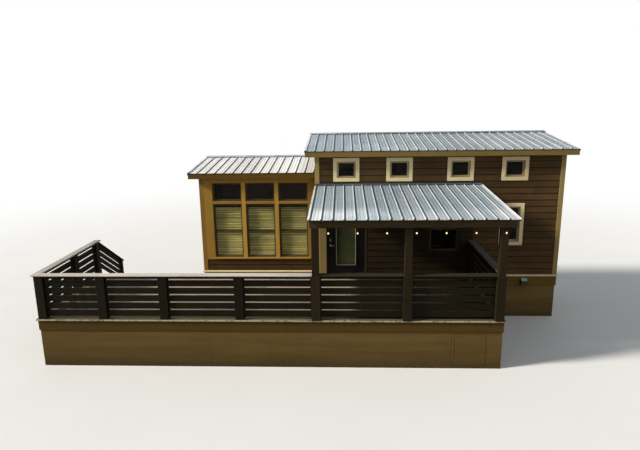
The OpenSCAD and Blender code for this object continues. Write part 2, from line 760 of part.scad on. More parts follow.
module front_rail_boards() {
  xs = [p1, p2, p3, p4, p5, p6, p7];
  color("dimgray") for (i = [0 : 5]) {
    rows(deck_z) box([xs[i] + post_w / 2, rail_c - 12, 0], [xs[i + 1] - post_w / 2, rail_c + 13, slot]);
    box([xs[i] + post_w / 2, rail_c - 12, cap_z0 - 68], [xs[i + 1] - post_w / 2, rail_c + 13, cap_z0]);
  }
}

module left_rail_boards() {
  color("dimgray") for (r = [[rail_y0 + post_d, side_post_y - post_w / 2],
      [side_post_y + post_w / 2, -post_w]]) {
    rows(deck_z) box([side_c - 12, r[0], 0], [side_c + 13, r[1], slot]);
    box([side_c - 12, r[0], cap_z0 - 68], [side_c + 13, r[1], cap_z0]);
  }
}

module right_rail_boards() {
  color("dimgray") {
    rows(deck_z) box([right_c - 12, beam_y1, 0], [right_c + 13, -post_w / 2 - trim, slot]);
    box([right_c - 12, beam_y1, cap_z0 - 68], [right_c + 13, -post_w / 2 - trim, cap_z0]);
  }
}

// Flat cap boards, broken where the porch posts pass through.
module front_rail_cap() {
  h = porch_post / 2;
  color("gray") for (s = [[-deck_left - 48, p5 - h], [p5 + h, p6 - h], [p6 + h, p7 - h]])
    box([s[0], rail_c - cap_w / 2, cap_z0], [s[1], rail_c + cap_w / 2, cap_z1]);
}

module side_rail_caps() {
  color("gray") {
    box([side_c - cap_w / 2, rail_c + cap_w / 2, cap_z0], [side_c + cap_w / 2, 60, cap_z1]);
    box([right_c - cap_w / 2, beam_y1, cap_z0], [right_c + cap_w / 2, -trim, cap_z1]);
  }
}

steps_x0 = side_c + 65;
steps_x1 = steps_x0 + steps_w;

module step_stringers() {
  n = risers - 1;
  saw = [for (i = [0 : n - 1]) each [[40 + i * tread, deck_z - (i + 1) * riser - 38],
    [40 + (i + 1) * tread, deck_z - (i + 1) * riser - 38]]];
  low = 40 + n * tread - 300;
  base = concat([[0, band_z1], [40, band_z1]], saw, [[40 + n * tread, 0], [low, 0],
    [0, low * riser / tread]]);
  color("dimgray") for (x = [steps_x0, (steps_x0 + steps_x1) / 2 - 22, steps_x1 - 45])
    along_x(x, x + 45, base);
}

module step_treads() {
  color("gray") for (i = [1 : risers - 1])
    box([steps_x0 - 20, 40 + (i - 1) * tread + 6, deck_z - i * riser - 38],
      [steps_x1 + 20, 40 + i * tread + 20, deck_z - i * riser]);
}

// Sloping hand rail beside the steps, with its foot post.
module step_rail() {
  run = (risers - 1) * tread - 80;
  s = riser / tread;
  x0 = side_c - 45;
  color("dimgray") {
    along_x(x0, x0 + 90, [[run - 60, 0], [run + 50, 0], [run + 50, cap_z0 - (run + 49) * s],
      [run - 60, cap_z0 - (run - 61) * s]]);
    slope_slab(x0 - 20, x0 + 110, 0, run + 90, cap_z0 - cap_t / 3, cap_z0 - cap_t / 3 - (run + 90) * s,
      cap_t);
    box([x0 - 20, 0, cap_z0 - cap_t - 8], [x0 + 110, 24, cap_z0]);
    for (z = [for (i = [0 : 3]) cap_z0 - 60 - i * (slot + rail_gap)])
      slope_slab(x0 + 32, x0 + 57, 0, run - 50, z, z - (run - 50) * s, slot);
  }
}

// Straight cord on hooks along the beam, with hanging bulbs.
module string_lights() {
  y = beam_y0 - 27;
  color("ivory") {
    translate([20, y, beam_z0 + 12]) rotate([0, 90, 0]) cylinder(r = 5, h = deck_right + 80, $fn = 12);
    for (i = [0 : 6]) translate([bulb_x + i * bulb_step, y, beam_z0 - 97]) {
      cylinder(r = 4, h = 109, $fn = 12);
      translate([0, 0, 18]) cylinder(r = 13, h = 38, $fn = 16);
      translate([0, 0, 109]) rotate([-90, 0, 0]) cylinder(r = 4, h = 27, $fn = 12);
      sphere(r = 24, $fn = 20);
    }
  }
}

place() deck_skirt_front();
place() deck_skirt_sides();
place() deck_skirt_back();
place() access_hatch();
place() house_skirt_front();
place() house_skirt_ends();
place() house_skirt_back();
place() skirt_bands();
place() exhaust_vent();
place() deck_floor();
place() deck_edge();
place() house_floor();
place() loft_floor();
place() front_wall_left();
place() front_wall_right();
place() front_wall_upper();
place() left_wall();
place() right_wall();
place() back_wall();
place() annex_front_wall();
place() annex_left_wall();
place() annex_back_wall();
place() main_roof();
place() annex_roof();
place() porch_roof();
place() main_roof_frame();
place() annex_roof_frame();
place() porch_roof_frame();
place() roof_caps();
place() fascia_boards();
place() porch_beam();
place() porch_posts();
place() door_frame();
place() door_hinges();
place() entry_door();
place() door_lite();
place() door_glass();
place() door_blind();
place() door_handle();
place() window_frames();
place() window_glass();
place() annex_blinds();
place() window_casings();
place() corner_boards();
place() rail_posts();
place() front_rail_boards();
place() left_rail_boards();
place() right_rail_boards();
place() front_rail_cap();
place() side_rail_caps();
place() step_stringers();
place() step_treads();
place() step_rail();
place() string_lights();
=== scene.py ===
"""Looks of a tiny house: lap boards, ribbed metal roofs, trim, deck, railing, porch, door and windows.

Every length is in metres. Shapes are built in house measure, which starts at the front left corner
of the main body on the ground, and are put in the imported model's frame when their mesh is made.
"""

import math
import random

import bmesh
import bpy
from mathutils import Matrix, Vector


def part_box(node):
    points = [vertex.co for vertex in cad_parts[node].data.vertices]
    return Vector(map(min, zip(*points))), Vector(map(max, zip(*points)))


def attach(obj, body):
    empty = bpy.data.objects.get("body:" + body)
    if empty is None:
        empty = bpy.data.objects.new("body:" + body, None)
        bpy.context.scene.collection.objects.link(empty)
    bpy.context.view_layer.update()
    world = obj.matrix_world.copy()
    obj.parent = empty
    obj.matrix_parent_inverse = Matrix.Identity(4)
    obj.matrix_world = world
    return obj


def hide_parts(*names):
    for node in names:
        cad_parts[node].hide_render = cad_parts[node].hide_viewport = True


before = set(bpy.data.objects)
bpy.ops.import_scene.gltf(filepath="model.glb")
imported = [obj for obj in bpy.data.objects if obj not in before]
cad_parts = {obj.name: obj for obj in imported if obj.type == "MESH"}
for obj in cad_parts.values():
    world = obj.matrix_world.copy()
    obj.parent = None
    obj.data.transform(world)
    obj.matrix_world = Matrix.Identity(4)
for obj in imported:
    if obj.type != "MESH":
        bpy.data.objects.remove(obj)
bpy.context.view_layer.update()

bl_info = {
    "name": "Tiny house looks",
    "version": (1, 0, 0),
    "blender": (4, 5, 0),
    "location": "3D View > Sidebar > Tiny house",
    "description": "Builds the boards, roofs, trim, railing and fittings of a tiny house",
    "category": "Add Mesh",
}

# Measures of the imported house

CORNER = Vector((*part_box("front_wall_left")[0].xy, 0))


def span(node):
    """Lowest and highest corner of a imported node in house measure."""
    low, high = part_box(node)
    return low - CORNER, high - CORNER


LENGTH = span("right_wall")[1].x
DEPTH = span("back_wall")[1].y
FLOOR = span("house_floor")[1].z
DECK = span("deck_floor")[1].z
DECK_L, DECK_F, _ = span("deck_skirt_front")[0]
DECK_R = span("deck_skirt_front")[1].x
LEDGE = DECK_L - span("deck_edge")[0].x
ANNEX_X, ANNEX_Y, _ = span("annex_front_wall")[0]
WALL = LENGTH - span("right_wall")[0].x
HEAD = span("door_frame")[1].z - 0.036
CAP_LOW, CAP_TOP = (corner.z for corner in span("front_rail_cap"))
BEAM_LOW = span("porch_beam")[0].z
BEAM_Y0, BEAM_Y1 = (corner.y for corner in span("porch_beam"))

# Boards and sheets
TRIM, CORNER_W, CASING = 0.022, 0.092, 0.089
FIT = 0.00002
BOARDS_T = 0.025
LEDGER_H = 0.150
SHEET, PAN, RIB, PITCH = 0.0012, 0.008, 0.019, 0.2286

# Posts of the porch and the railing
POST_IN, POST_STEP, BAY = 0.092, 1.878, 1.597
POSTS = [DECK_R - POST_IN - POST_STEP * k for k in (2, 1, 0)]
RAIL_POSTS = [DECK_L + POST_IN, 0, POSTS[0] - BAY * 2, POSTS[0] - BAY]
RAIL_POSTS[1] = (RAIL_POSTS[0] + RAIL_POSTS[2]) / 2

# Windows: the middle of each along the front, its sill, width and height
HIGH_X, HIGH_SILL, HIGH_W, HIGH_H = (0.764, 2.080, 3.580, 4.905), 3.653, 0.470, 0.410
HIGH = [(x, HIGH_SILL, HIGH_W, HIGH_H) for x in HIGH_X]
LOW_HEAD = FLOOR + 1.765
SIDE_WIN = (4.898, LOW_HEAD - 0.900, 0.411, 0.900)
PORCH_WIN = (3.232, LOW_HEAD - 1.140, 0.720, 1.140)
BAY_W, BAY_STEP, BAY_LOW, BAY_BAR, BAY_TOP = 0.762, 0.862, 1.440, 0.070, 0.480
BAY_Z = FLOOR + 0.370
BAYS = [ANNEX_X + 0.315 + BAY_W / 2 + i * BAY_STEP for i in range(3)]
BAY_END = BAY_Z + BAY_LOW + BAY_BAR + BAY_TOP

# Door
DOOR_X, DOOR_W, DOOR_H, JAMB = 0.256, 0.914, 2.000, 0.040
LEAF_X0 = DOOR_X + JAMB
LEAF_X1 = LEAF_X0 + DOOR_W
LEAF_Z0 = FLOOR + 0.025
LEAF_Y0, LEAF_Y1 = WALL - 0.045, WALL
DOOR_END = LEAF_X1 + JAMB
DOOR_SIDE = DOOR_X - 0.169
LITE_W, LITE_H = 0.560, 1.580
LITE_X, LITE_Z = (LEAF_X0 + LEAF_X1) / 2, LEAF_Z0 + 0.220


class Slope:
    """A roof plane that starts at its eave and rises to the back."""

    def __init__(self, x0, x1, y0, y1, z0, rise, first):
        self.x0, self.x1, self.y0, self.y1 = x0, x1, y0, y1
        self.z0, self.rise, self.first = z0, rise, first
        angle = math.atan(rise)
        self.cos, self.sin = math.cos(angle), math.sin(angle)
        self.length = (y1 - y0) / self.cos
        self.normal = Vector((0, -self.sin, self.cos))

    def at(self, x, s, n):
        """The point x along the eave, s up the slope and n over the roof boards."""
        y = self.y0 + s * self.cos - n * self.sin
        return (x, y, self.z0 - PAN / self.cos + s * self.sin + n * self.cos)

    def bend(self, p):
        """Turns (x, up the slope, over the boards) into house measure."""
        return self.at(*p)

    def top(self, y):
        """Height of the roof boards under the sheet."""
        return self.z0 + (y - self.y0) * self.rise - PAN / self.cos - FIT

    def ribs(self):
        """Middles of the high ribs."""
        found, x = [], self.x0 + self.first
        while x < self.x1 - 0.011:
            found.append(x)
            x += PITCH
        return found


SIDE_OVER = 0.260
BACK = DEPTH + 0.100
FRAME_T = 0.130
MAIN = Slope(-SIDE_OVER, LENGTH + SIDE_OVER, -0.193, BACK, 4.337, 0.118, 0.024)
ANNEX = Slope(ANNEX_X - SIDE_OVER, 0, ANNEX_Y - 0.190, BACK, BAY_END + 0.275, 0.106, 0.024)
PORCH = Slope(-0.030, DECK_R + 0.163, DECK_F - LEDGE - 0.137, 0, 0, 0.075, 0.049)
PORCH_TOP = 3.469
PORCH.z0 = PORCH_TOP + PORCH.y0 * PORCH.rise
FLASH_Z = PORCH_TOP + RIB / PORCH.cos + FIT
FLASH_H, FLASH_REACH = 0.025, 0.060


def main_under(y):
    """Underside of the main roof's frame."""
    return MAIN.top(y) - FRAME_T


def annex_under(y):
    """Underside of the annex roof's frame."""
    return ANNEX.top(y) - FRAME_T


def porch_under(y):
    """Underside of the porch roof's boards."""
    return PORCH.top(y) - BOARDS_T


LEDGER_LOW = porch_under(-0.038) - LEDGER_H
WALL_START = FLOOR + 0.008


def tint(*screen):
    """A colour given in screen values from 0 to 255, as the linear values that shaders use."""
    shares = [c / 255 for c in screen]
    return tuple(round(c / 12.92 if c <= 0.04 else ((c + 0.055) / 1.055) ** 2.4, 4) for c in shares)


def times(colour, *by):
    """A colour made lighter or darker, by one share or by one for each channel."""
    shares = by * 3 if len(by) == 1 else by
    return tuple(min(1.0, c * k) for c, k in zip(colour, shares))


# Shapes

X, Y, Z = 0, 1, 2
UP = (0, 0, 1)
HERE = Vector((0, 0, 0))


def _board_plan():
    """Corners and faces of a box with softened edges: (corner, axis) pairs, and (ring, wear) pairs."""
    corners = [(x, y, z) for x in (0, 1) for y in (0, 1) for z in (0, 1)]
    keys = [(c, k) for c in corners for k in range(3)]
    number = {key: i for i, key in enumerate(keys)}

    def place(key):
        c, k = key
        return Vector([c[j] if j == k else (0.1 if c[j] == 0 else 0.9) for j in range(3)])

    def turned(ring):
        a, b, c = (place(keys[i]) for i in ring[:3])
        middle = sum((place(keys[i]) for i in ring), Vector()) / len(ring) - Vector((0.5, 0.5, 0.5))
        return ring if (b - a).cross(c - a).dot(middle) > 0 else ring[::-1]

    faces = []
    for k in range(3):
        m, n = (k + 1) % 3, (k + 2) % 3
        for s in (0, 1):
            ring = []
            for a, b in ((0, 0), (1, 0), (1, 1), (0, 1)):
                c = [0, 0, 0]
                c[k], c[m], c[n] = s, a, b
                ring.append(number[(tuple(c), k)])
            faces.append((turned(ring), 0.0))
        for a in (0, 1):
            for b in (0, 1):
                low, high = [0, 0, 0], [0, 0, 0]
                low[k], low[m], low[n] = 0, a, b
                high[k], high[m], high[n] = 1, a, b
                low, high = tuple(low), tuple(high)
                ring = [number[(low, m)], number[(high, m)], number[(high, n)], number[(low, n)]]
                faces.append((turned(ring), 1.0))
    for c in corners:
        faces.append((turned([number[(c, k)] for k in range(3)]), 1.0))
    return keys, faces


BOARD_KEYS, BOARD_FACES = _board_plan()
# Mark of a face worn pale all over: wear, and a painted highlight on the deck edge's outer face.
WORN_AND_HIGHLIGHTED = 4.0


def mirrors(bend):
    """True for a bend that turns a shape into its mirror image."""
    home, x, y, z = (Vector(bend(p)) for p in ((0, 0, 0), (1, 0, 0), (0, 1, 0), (0, 0, 1)))
    return (x - home).cross(y - home).dot(z - home) < 0


def polygon_turn(ring):
    """Above zero for an anticlockwise outline."""
    return sum(a[0] * b[1] - b[0] * a[1] for a, b in zip(ring, ring[1:] + ring[:1]))


class Shape:
    """Corners, faces, shades, worn edges and grain of one piece, gathered before its mesh is made."""

    def __init__(self, seed=1):
        self.points, self.faces, self.part, self.soft = [], [], [], []
        self.grain, self.shade, self.edge = [], [], []
        self.draw = random.Random(seed)

    def add(self, points, faces, along=X, shade=None, edges=None, part=0, soft=False, bend=None):
        """Adds faces. The grain runs along one axis, and bend moves the points once their grain is set."""
        shade = self.draw.random() if shade is None else shade
        start = len(self.points)
        a, b = [k for k in range(3) if k != along]
        slide = shade * 7.3
        mirrored = bend and mirrors(bend)
        for number, face in enumerate(faces):
            face = face[::-1] if mirrored else face
            self.faces.append([start + i for i in face])
            for i in face:
                p = points[i]
                self.grain += [p[along] + slide, p[a] + p[b] + slide * 0.37]
                self.shade.append(shade)
                self.edge.append(edges[number] if edges else 0.0)
            self.part.append(part)
            self.soft.append(soft)
        self.points += [tuple(bend(p)) if bend else tuple(p) for p in points]

    def board(self, low, high, along=None, round_over=0.002, shade=None, part=0, bend=None, pale=None):
        """A sawn board with softened edges. pale is the axis and the place of a worn face that also takes a
        painted highlight.
        """
        size = [high[k] - low[k] for k in range(3)]
        if along is None:
            along = size.index(max(size))
        r = min(round_over, min(size) * 0.3)
        points = []
        for c, k in BOARD_KEYS:
            inset = [0 if j == k else r for j in range(3)]
            points.append([high[j] - inset[j] if c[j] else low[j] + inset[j] for j in range(3)])
        marks = [mark for _, mark in BOARD_FACES]
        if pale:
            axis, place = pale
            for number, (ring, _) in enumerate(BOARD_FACES):
                if all(abs(points[i][axis] - place) < 1e-6 for i in ring):
                    marks[number] = WORN_AND_HIGHLIGHTED
        self.add(points, [ring for ring, _ in BOARD_FACES], along, shade, marks, part, bend=bend)

    def prism(self, outline, low, high, axis=X, shade=None, part=0, bend=None, edges=None):
        """An outline drawn out along an axis. Its pairs are the two other axes in cyclic order."""
        count = len(outline)
        marks = list(edges) if edges else [0.0] * count
        if polygon_turn(outline) < 0:
            outline, marks = outline[::-1], marks[-2::-1] + marks[-1:]
        m, n = (axis + 1) % 3, (axis + 2) % 3
        points = []
        for end in (low, high):
            for p in outline:
                q = [0, 0, 0]
                q[axis], q[m], q[n] = end, p[0], p[1]
                points.append(q)
        faces = [[i, (i + 1) % count, (i + 1) % count + count, i + count] for i in range(count)]
        faces += [list(range(count))[::-1], list(range(count, 2 * count))]
        self.add(points, faces, axis, shade, marks + [0.0, 0.0], part, bend=bend)

    def turned(self, outline, foot, way, sides=24, shade=0.5, part=0):
        """A turned form: pairs of radius and height, from its foot along a direction."""
        spin = Vector(way).normalized().to_track_quat("Z", "Y")
        foot = Vector(foot)
        points, faces, rows = [], [], []
        for radius, height in outline:
            steps = sides if radius > 1e-6 else 1
            rows.append(list(range(len(points), len(points) + steps)))
            for i in range(steps):
                t = 2 * math.pi * i / sides
                points.append(foot + spin @ Vector((radius * math.cos(t), radius * math.sin(t), height)))
        for low, high in zip(rows, rows[1:]):
            for i in range(sides):
                j = (i + 1) % sides
                if len(low) == 1:
                    faces.append([low[0], high[j], high[i]])
                elif len(high) == 1:
                    faces.append([low[i], low[j], high[0]])
                else:
                    faces.append([low[i], low[j], high[j], high[i]])
        if len(rows[0]) > 1:
            faces.append(rows[0][::-1])
        if len(rows[-1]) > 1:
            faces.append(rows[-1])
        self.add(points, faces, Z, shade, None, part, True)

    def tube(self, path, radius, sides=8, shade=0.5, part=0):
        """A round bar or cord along a path, closed at its ends."""
        path = [Vector(p) for p in path]
        radii = radius if isinstance(radius, list) else [radius] * len(path)
        points, faces = [], []
        way = (path[1] - path[0]).normalized()
        side = way.orthogonal().normalized()
        for i, p in enumerate(path):
            ahead = path[min(i + 1, len(path) - 1)] - path[max(i - 1, 0)]
            turn = way.rotation_difference(ahead.normalized())
            way, side = ahead.normalized(), turn @ side
            other = way.cross(side)
            for k in range(sides):
                t = 2 * math.pi * k / sides
                points.append(p + (side * math.cos(t) + other * math.sin(t)) * radii[i])
        for i in range(0, (len(path) - 1) * sides, sides):
            for k in range(sides):
                j = (k + 1) % sides
                faces.append([i + k, i + j, i + sides + j, i + sides + k])
        faces += [list(range(sides))[::-1], list(range(len(points) - sides, len(points)))]
        self.add(points, faces, Z, shade, None, part, True)

    def weld(self, first):
        """Joins the corners, from the first one on, that lie in the same place."""
        kept, places, renamed = self.points[:first], {}, {}
        for i, p in enumerate(self.points[first:], first):
            place = tuple(round(c, 6) for c in p)
            if place not in places:
                places[place] = len(kept)
                kept.append(p)
            renamed[i] = places[place]
        self.points = kept
        self.faces = [[renamed.get(i, i) for i in face] for face in self.faces]

    def absorb(self, mesh, part=0, shade=None, along=X, soft=False):
        """Takes in the faces of a mesh in house measure, with its grain and shades if it has them."""
        start = len(self.points)
        points = [tuple(v.co) for v in mesh.vertices]
        self.points += points
        layer = mesh.uv_layers.get("grain")
        tone, edge, each = (mesh.attributes.get(n) for n in ("shade", "edge", "each"))
        if shade is None:
            shade = self.draw.random()
        a, b = [k for k in range(3) if k != along]
        for polygon in mesh.polygons:
            self.faces.append([start + i for i in polygon.vertices])
            for loop in polygon.loop_indices:
                vertex = mesh.loops[loop].vertex_index
                p = points[vertex]
                value = tone.data[loop].value if tone else shade
                if each:
                    value = (value + each.data[vertex].value) % 1.0
                self.grain += list(layer.data[loop].uv) if layer else [p[along], p[a] + p[b]]
                self.shade.append(value)
                self.edge.append(edge.data[loop].value if edge else 0.0)
            self.part.append(part)
            self.soft.append(soft)

    def mesh(self, name, shift=CORNER):
        """The gathered faces as a Blender mesh."""
        made = bpy.data.meshes.new(name)
        x, y, z = shift
        made.from_pydata([(p[0] + x, p[1] + y, p[2] + z) for p in self.points], [], self.faces)
        made.uv_layers.new(name="grain").data.foreach_set("uv", self.grain)
        for label, values in (("shade", self.shade), ("edge", self.edge)):
            made.attributes.new(label, "FLOAT", "CORNER").data.foreach_set("value", values)
        made.polygons.foreach_set("material_index", self.part)
        made.polygons.foreach_set("use_smooth", self.soft)
        made.update()
        return made

    def piece(self, name, finishes, slot, *stands_for, body="house"):
        """Makes the piece with the finishes of its parts, and ties it to its body."""
        thing = bpy.data.objects.new(name, self.mesh(name))
        bpy.context.scene.collection.objects.link(thing)
        for finish in finishes.split():
            thing.data.materials.append(FINISH[finish])
        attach(thing, body)
        if stands_for:
            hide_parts(*stands_for)


def cut_off(mesh, point, normal, join=False):
    """Cuts away what lies past a plane, on the side that its normal points to, and closes the cut."""
    work = bmesh.new()
    work.from_mesh(mesh)
    if join:
        bmesh.ops.remove_doubles(work, verts=work.verts, dist=0.00001)
    whole = work.verts[:] + work.edges[:] + work.faces[:]
    cut = bmesh.ops.bisect_plane(work, geom=whole, plane_co=point, plane_no=normal, clear_outer=True)
    rim = [e for e in cut["geom_cut"] if isinstance(e, bmesh.types.BMEdge)]
    bmesh.ops.holes_fill(work, edges=rim, sides=0)
    bmesh.ops.recalc_face_normals(work, faces=work.faces)
    work.to_mesh(mesh)
    work.free()
    return mesh


def dressed(node, round_over=0.003):
    """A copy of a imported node's mesh in house measure, merged, cleaned and with softened edges."""
    work = bmesh.new()
    work.from_mesh(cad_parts[node].data)
    bmesh.ops.remove_doubles(work, verts=work.verts, dist=0.00005)
    bmesh.ops.translate(work, verts=work.verts, vec=-CORNER)
    bmesh.ops.dissolve_limit(work, angle_limit=math.radians(1), verts=work.verts, edges=work.edges)
    sharp = [e for e in work.edges if len(e.link_faces) == 2 and e.calc_face_angle(0) > 0.5]
    bmesh.ops.bevel(work, geom=sharp, offset=round_over, segments=1, affect="EDGES", profile=0.6,
                    clamp_overlap=True)
    mesh = bpy.data.meshes.new(node + "_dressed")
    work.to_mesh(mesh)
    work.free()
    return mesh


def folded(shape, path, thick, low, high, part=0, shade=0.5):
    """Sheet metal folded along a path of (y, z) pairs. Its thickness lies left of the path."""
    path = [Vector(p) for p in path]
    ways = [(b - a).normalized() for a, b in zip(path, path[1:])]
    left = []
    for p, before, after in zip(path, ways[:1] + ways, ways + ways[-1:]):
        a, b = Vector((-before.y, before.x)), Vector((-after.y, after.x))
        mid = (a + b).normalized()
        left.append(p + mid * (thick / max(0.3, mid.dot(a))))
    shape.prism([tuple(p) for p in path + left[::-1]], low, high, X, shade, part)


def set_finish(finish, *nodes):
    """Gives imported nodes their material."""
    for node in nodes:
        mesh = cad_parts[node].data
        mesh.materials.clear()
        mesh.materials.append(FINISH[finish])


# Geometry node trees

TREES = {}


class Tree:
    """A geometry node tree with named inputs, and a short way to add its nodes."""

    def __init__(self, name, **inputs):
        self.tree = bpy.data.node_groups.new(name, "GeometryNodeTree")
        sockets = self.tree.interface
        sockets.new_socket("Geometry", in_out="INPUT", socket_type="NodeSocketGeometry")
        for label, (kind, value) in inputs.items():
            words = label.replace("_", " ")
            socket = sockets.new_socket(words, in_out="INPUT", socket_type="NodeSocket" + kind)
            if value is not None:
                socket.default_value = value
        sockets.new_socket("Geometry", in_out="OUTPUT", socket_type="NodeSocketGeometry")
        self.given = self.add("NodeGroupInput").outputs
        self.result = self.add("NodeGroupOutput").inputs[0]

    def add(self, kind, settings=None, **links):
        """Adds a node, and links or sets its inputs by their names."""
        node = self.tree.nodes.new(kind)
        for key, value in (settings or {}).items():
            setattr(node, key, value)
        for key, value in links.items():
            socket = next(s for s in node.inputs if s.name.replace(" ", "_") == key and s.enabled)
            if isinstance(value, bpy.types.NodeSocket):
                self.tree.links.new(value, socket)
            else:
                socket.default_value = value
        return node

    def shrunk(self, value, share):
        """A share of an input."""
        node = self.add("ShaderNodeMath", {"operation": "MULTIPLY"})
        self.tree.links.new(value, node.inputs[0])
        node.inputs[1].default_value = share
        return node.outputs[0]

    def cone(self, sides, radius, height, share):
        """A low cone for a washer or a head, narrower at its top."""
        return self.add("GeometryNodeMeshCone", {"fill_type": "NGON"}, Vertices=sides, Radius_Bottom=radius,
                        Radius_Top=self.shrunk(radius, share), Depth=height).outputs[0]

    def finish(self, placed):
        """Ends the tree: real shapes with their material."""
        real = self.add("GeometryNodeRealizeInstances", Geometry=placed)
        done = self.add("GeometryNodeSetMaterial", Geometry=real.outputs[0], Material=self.given["Finish"])
        self.tree.links.new(done.outputs[0], self.result)
        return self.tree

    @staticmethod
    def run(tree, mesh, **values):
        """Runs a tree on a mesh and returns the result as a plain mesh."""
        thing = bpy.data.objects.new(tree.name + "_work", mesh)
        bpy.context.scene.collection.objects.link(thing)
        step = thing.modifiers.new(tree.name, "NODES")
        step.node_group = tree
        for item in tree.interface.items_tree:
            key = item.name.replace(" ", "_")
            if item.item_type == "SOCKET" and item.in_out == "INPUT" and key in values:
                step[item.identifier] = values[key]
        live = thing.evaluated_get(bpy.context.evaluated_depsgraph_get())
        made = bpy.data.meshes.new_from_object(live)
        thing.modifiers.remove(step)
        bpy.data.objects.remove(thing)
        return made


def build_row_tree():
    """Repeats a shape in a row, and gives each one its own shade."""
    tree = Tree("row_of_shapes", Count=("Int", 3), Step=("Vector", None), Seed=("Int", 1),
                Spread=("Float", 1.0), Finish=("Material", None))
    given = tree.given
    line = tree.add("GeometryNodeMeshLine", {"mode": "OFFSET", "count_mode": "TOTAL"},
                    Count=given["Count"], Offset=given["Step"])
    placed = tree.add("GeometryNodeInstanceOnPoints", Points=line.outputs[0], Instance=given["Geometry"])
    index = tree.add("GeometryNodeInputIndex")
    shade = tree.add("FunctionNodeRandomValue", {"data_type": "FLOAT"}, Max=given["Spread"],
                     Seed=given["Seed"], ID=index.outputs[0])
    kept = tree.add("GeometryNodeStoreNamedAttribute", {"data_type": "FLOAT", "domain": "INSTANCE"},
                    Geometry=placed.outputs[0], Name="each", Value=shade.outputs[1])
    return tree.finish(kept.outputs[0])


def build_screw_tree():
    """Sets a washer and a hexagon or round head on every point, square to the way it faces."""
    tree = Tree("screws_on_points", Head_Radius=("Float", 0.005), Head_Height=("Float", 0.004),
                Washer_Radius=("Float", 0.009), Washer_Height=("Float", 0.002), Sides=("Int", 6),
                Finish=("Material", None))
    given = tree.given
    facing = tree.add("GeometryNodeInputNamedAttribute", {"data_type": "FLOAT_VECTOR"}, Name="facing")
    turn = tree.add("FunctionNodeAlignRotationToVector", {"axis": "Z"}, Vector=facing.outputs[0])
    washer = tree.cone(12, given["Washer Radius"], given["Washer Height"], 0.8)
    head = tree.cone(given["Sides"], given["Head Radius"], given["Head Height"], 0.86)
    lift = tree.add("ShaderNodeCombineXYZ", Z=given["Washer Height"])
    raised = tree.add("GeometryNodeTransform", Geometry=head, Translation=lift.outputs[0])
    both = tree.add("GeometryNodeJoinGeometry")
    tree.tree.links.new(washer, both.inputs[0])
    tree.tree.links.new(raised.outputs[0], both.inputs[0])
    placed = tree.add("GeometryNodeInstanceOnPoints", Points=given["Geometry"], Instance=both.outputs[0],
                      Rotation=turn.outputs[0])
    return tree.finish(placed.outputs[0])


def in_a_row(shape, count, step, seed, finish, spread=1.0):
    """Repeats a gathered shape count times, and returns the mesh in house measure."""
    return Tree.run(TREES["row"], shape.mesh("row", HERE), Count=count, Step=step, Seed=seed, Spread=spread,
                    Finish=FINISH[finish])


# Head radius, head height, washer radius, washer height, sides and finish of each kind of fastener
FASTENERS = {
    "roof": (0.0048, 0.0062, 0.0085, 0.0024, 6, "zinc"),
    "ridge": (0.0048, 0.0060, 0.0085, 0.0024, 6, "zinc"),
    "outlet": (0.0028, 0.0014, 0.0030, 0.0005, 10, "zinc"),
    "tie": (0.0035, 0.0016, 0.0040, 0.0004, 8, "zinc"),
    "deck": (0.0030, 0.0006, 0.0040, 0.0005, 6, "dark_screw"),
    "post": (0.0035, 0.0010, 0.0042, 0.0005, 8, "dark_screw"),
    "rail": (0.0032, 0.0008, 0.0040, 0.0004, 8, "dark_screw"),
    "cap": (0.0035, 0.0008, 0.0045, 0.0004, 10, "dark_screw"),
    "bolt": (0.0085, 0.0060, 0.0140, 0.0020, 6, "dark_screw"),
}


class Screws:
    """Points and directions of fasteners of one kind."""

    def __init__(self, kind):
        self.kind, self.points, self.ways = kind, [], []

    def put(self, point, way):
        """Sets one, with its head on the side that the way points to."""
        self.points.append(tuple(point))
        self.ways += list(Vector(way).normalized())

    def drive(self, shape, part):
        """Adds them all to a shape."""
        made = bpy.data.meshes.new("screw_points")
        made.from_pydata(self.points, [], [])
        made.attributes.new("facing", "FLOAT_VECTOR", "POINT").data.foreach_set("vector", self.ways)
        names = ("Head_Radius", "Head_Height", "Washer_Radius", "Washer_Height", "Sides")
        *sizes, finish = FASTENERS[self.kind]
        shape.absorb(Tree.run(TREES["screws"], made, Finish=FINISH[finish], **dict(zip(names, sizes))), part)


# Materials

FINISH = {}
GROUPS = {}
DUST = tint(120, 112, 98)


